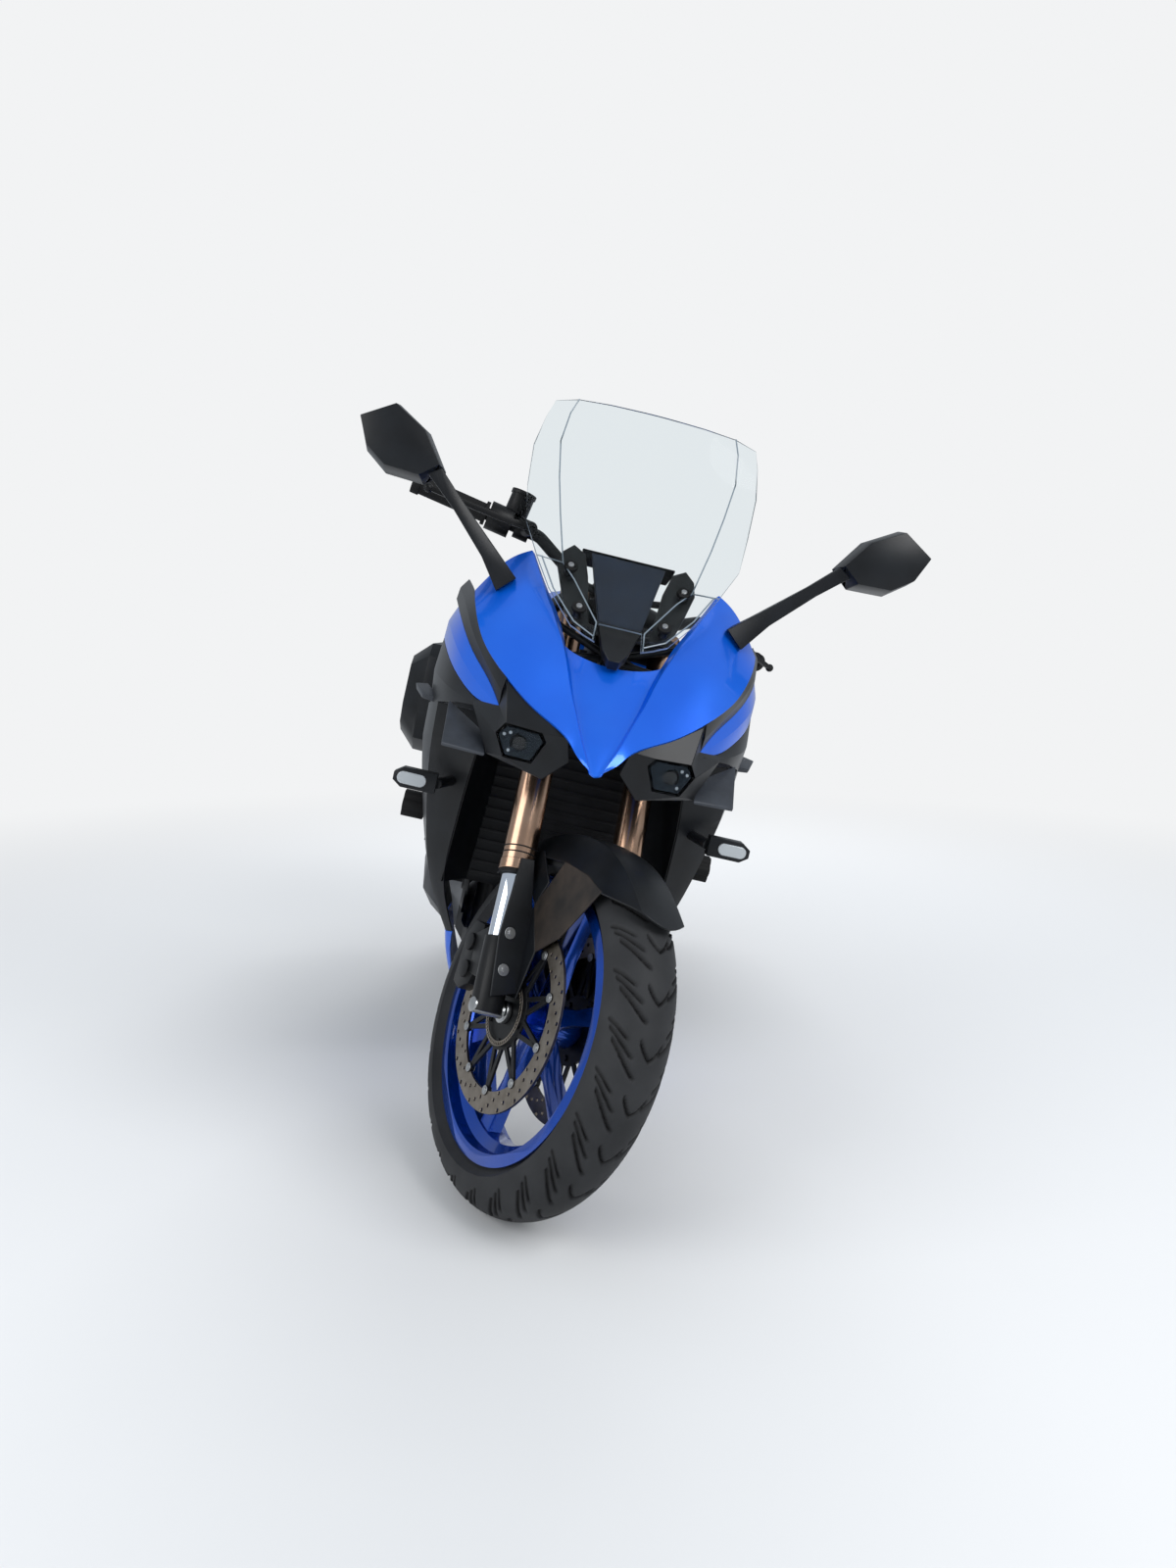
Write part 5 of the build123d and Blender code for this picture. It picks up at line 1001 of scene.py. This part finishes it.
bm = bmesh.new()
rim = scaled(LAMP, 1.16, 3)
rim[1:3] = [c + Vector((8, 0, 2)) for c in rim[1:3]]  # the brow stands ahead
outer, mouth = loop(bm, MASK), loop(bm, rim)
bmesh.ops.bridge_loops(bm, edges=outer.edges[:] + mouth.edges[:])
back_edges = outer.edges[:]
bmesh.ops.delete(bm, geom=[outer], context="FACES_ONLY")
# the sides run back under the nose, a face closes them there, and the mouth is sunk 30 mm
walls = bmesh.ops.extrude_edge_only(bm, edges=back_edges)["geom"]
bmesh.ops.translate(bm, verts=verts_in(walls), vec=(-0.07, 0.004, 0.03))
bmesh.ops.contextual_create(bm, geom=[g for g in walls if isinstance(g, bmesh.types.BMEdge)])
well = bmesh.ops.extrude_face_region(bm, geom=[mouth])["geom"]
if mouth.is_valid:
    bmesh.ops.delete(bm, geom=[mouth], context="FACES_ONLY")
bmesh.ops.translate(bm, verts=verts_in(well), vec=(-0.03, 0, 0))
settle("lamp_masks", bm, "black_plastic", replace=["lamp_housings"], bevel=1.0)
print("lamp masks in place")

# %% [markdown]
# Inside the mask, six bright elements stand round a projector with a dark domed lens, in a smoked reflector.

# %% Headlamps
bm = bmesh.new()
between(bm, scaled(LAMP, 1.02, -2), scaled(LAMP, 0.6, -20))
settle("lamp_reflectors", bm, "chrome", "reflector", bevel=0.5)
bm = bmesh.new()
middle = LAMP_MIDDLE + Vector((-4, 0, 0))
rod(bm, middle - Vector((16, 0, 0)), middle, 15, 16, sides=48)
settle("projector_rings", bm, "black_plastic", bevel=1.0)
bm = bmesh.new()
bmesh.ops.create_uvsphere(bm, u_segments=40, v_segments=20, radius=0.0125)
bmesh.ops.scale(bm, verts=bm.verts, vec=(0.5, 1, 1))
bmesh.ops.translate(bm, verts=bm.verts, vec=middle / 1000)
settle("projector_lenses", bm, "lamp_lens", "display_glass", bevel=0)
bm = bmesh.new()
for y, z in ((-27, 8), (-18, 13), (17, 13), (26, 9), (-16, -14), (15, -14)):
    rod(bm, LAMP_MIDDLE + Vector((-8, y, z)), LAMP_MIDDLE + Vector((-3, y, z)), 2.6, sides=12)
settle("lamp_elements", bm, "lamp_lens", "bright_chip", bevel=0.4)
bm = bmesh.new()
between(bm, scaled(LAMP, 1.1, 6), scaled(LAMP, 1.1, 3.2))
settle("lamp_covers", bm, "lamp_lens", replace=["headlamps"], bevel=0.8)
print("lamps in place")

# %% [markdown]
# Each turn signal is a black pod with a pale lens that ends in two half rounds. The mirrors' glass faces the rider.

# %% Signal lenses and mirror glass
bm = bmesh.new()
lens = []
for k in range(24):
    a = 2 * pi * k / 24
    lens.append((F - 128.5, 277 + (14 if cos(a) > 0 else -14) + 10.5 * cos(a), 618 + 10.5 * sin(a)))
plate(bm, lens, (4, 0, 0))
settle("signal_lenses", bm, "lamp_lens", "frosted_lens", bevel=1.2)
bm = bmesh.new()
GLASS = [(336, 1121), (364, 1097), (423, 1100), (457, 1126), (474, 1168), (423, 1199), (371, 1168)]
plate(bm, [(F - 159.8, 408 + (y - 408) * 0.92, 1143 + (z - 1143) * 0.92) for y, z in GLASS], (-1.0, 0, 0))
settle("mirror_glass", bm, "chrome", "mirror_glass", bevel=0.3)
print("lenses and mirror glass in place")

# %% [markdown]
# A seat is foam under grained vinyl: crowned, with edges that pull in. A slightly smaller copy of each plain solid is
# remeshed and blown up as cloth, which gives that crown, and a cap keeps it from swelling past the seat's outline.

# %% Seats
CAP, CELL, INSET = 0.009, 0.006, 0.004  # metres: the most it may swell, the cloth's cells, how much smaller it starts
FRAMES = 20


def seat(node):
    """Foam seat: remeshed, swollen as cloth with a cap, then subdivided once."""
    bm = bmesh.new()
    bm.from_mesh(frame["nodes"][node].data)
    bmesh.ops.remove_doubles(bm, verts=bm.verts, dist=WELD)
    bm.normal_update()
    for vert in bm.verts:
        vert.co -= vert.normal * INSET
    piece = show("padded_" + node, bm, MATERIAL["seat_vinyl"], body_of_node(node), [node], smooth=180)
    cells = piece.modifiers.new("cells", "REMESH")
    cells.mode, cells.voxel_size = "VOXEL", CELL
    swap_mesh(piece)
    start = [v.co.copy() for v in piece.data.vertices]
    cloth = piece.modifiers.new("cloth", "CLOTH")
    cloth.settings.use_pressure = True
    cloth.settings.uniform_pressure_force = 4
    cloth.settings.effector_weights.gravity = 0
    for number in range(1, FRAMES + 1):
        bpy.context.scene.frame_set(number)
    swap_mesh(piece)
    for vert, old in zip(piece.data.vertices, start):
        move = vert.co - old
        if move.length > CAP:
            vert.co = old + move.normalized() * CAP
    bpy.context.scene.frame_set(1)
    for face in piece.data.polygons:
        face.use_smooth = True
    fine = piece.modifiers.new("fine", "SUBSURF")
    fine.levels = fine.render_levels = 1
    print(node, len(piece.data.vertices), "points")


seat("rider_seat")
seat("pillion_seat")
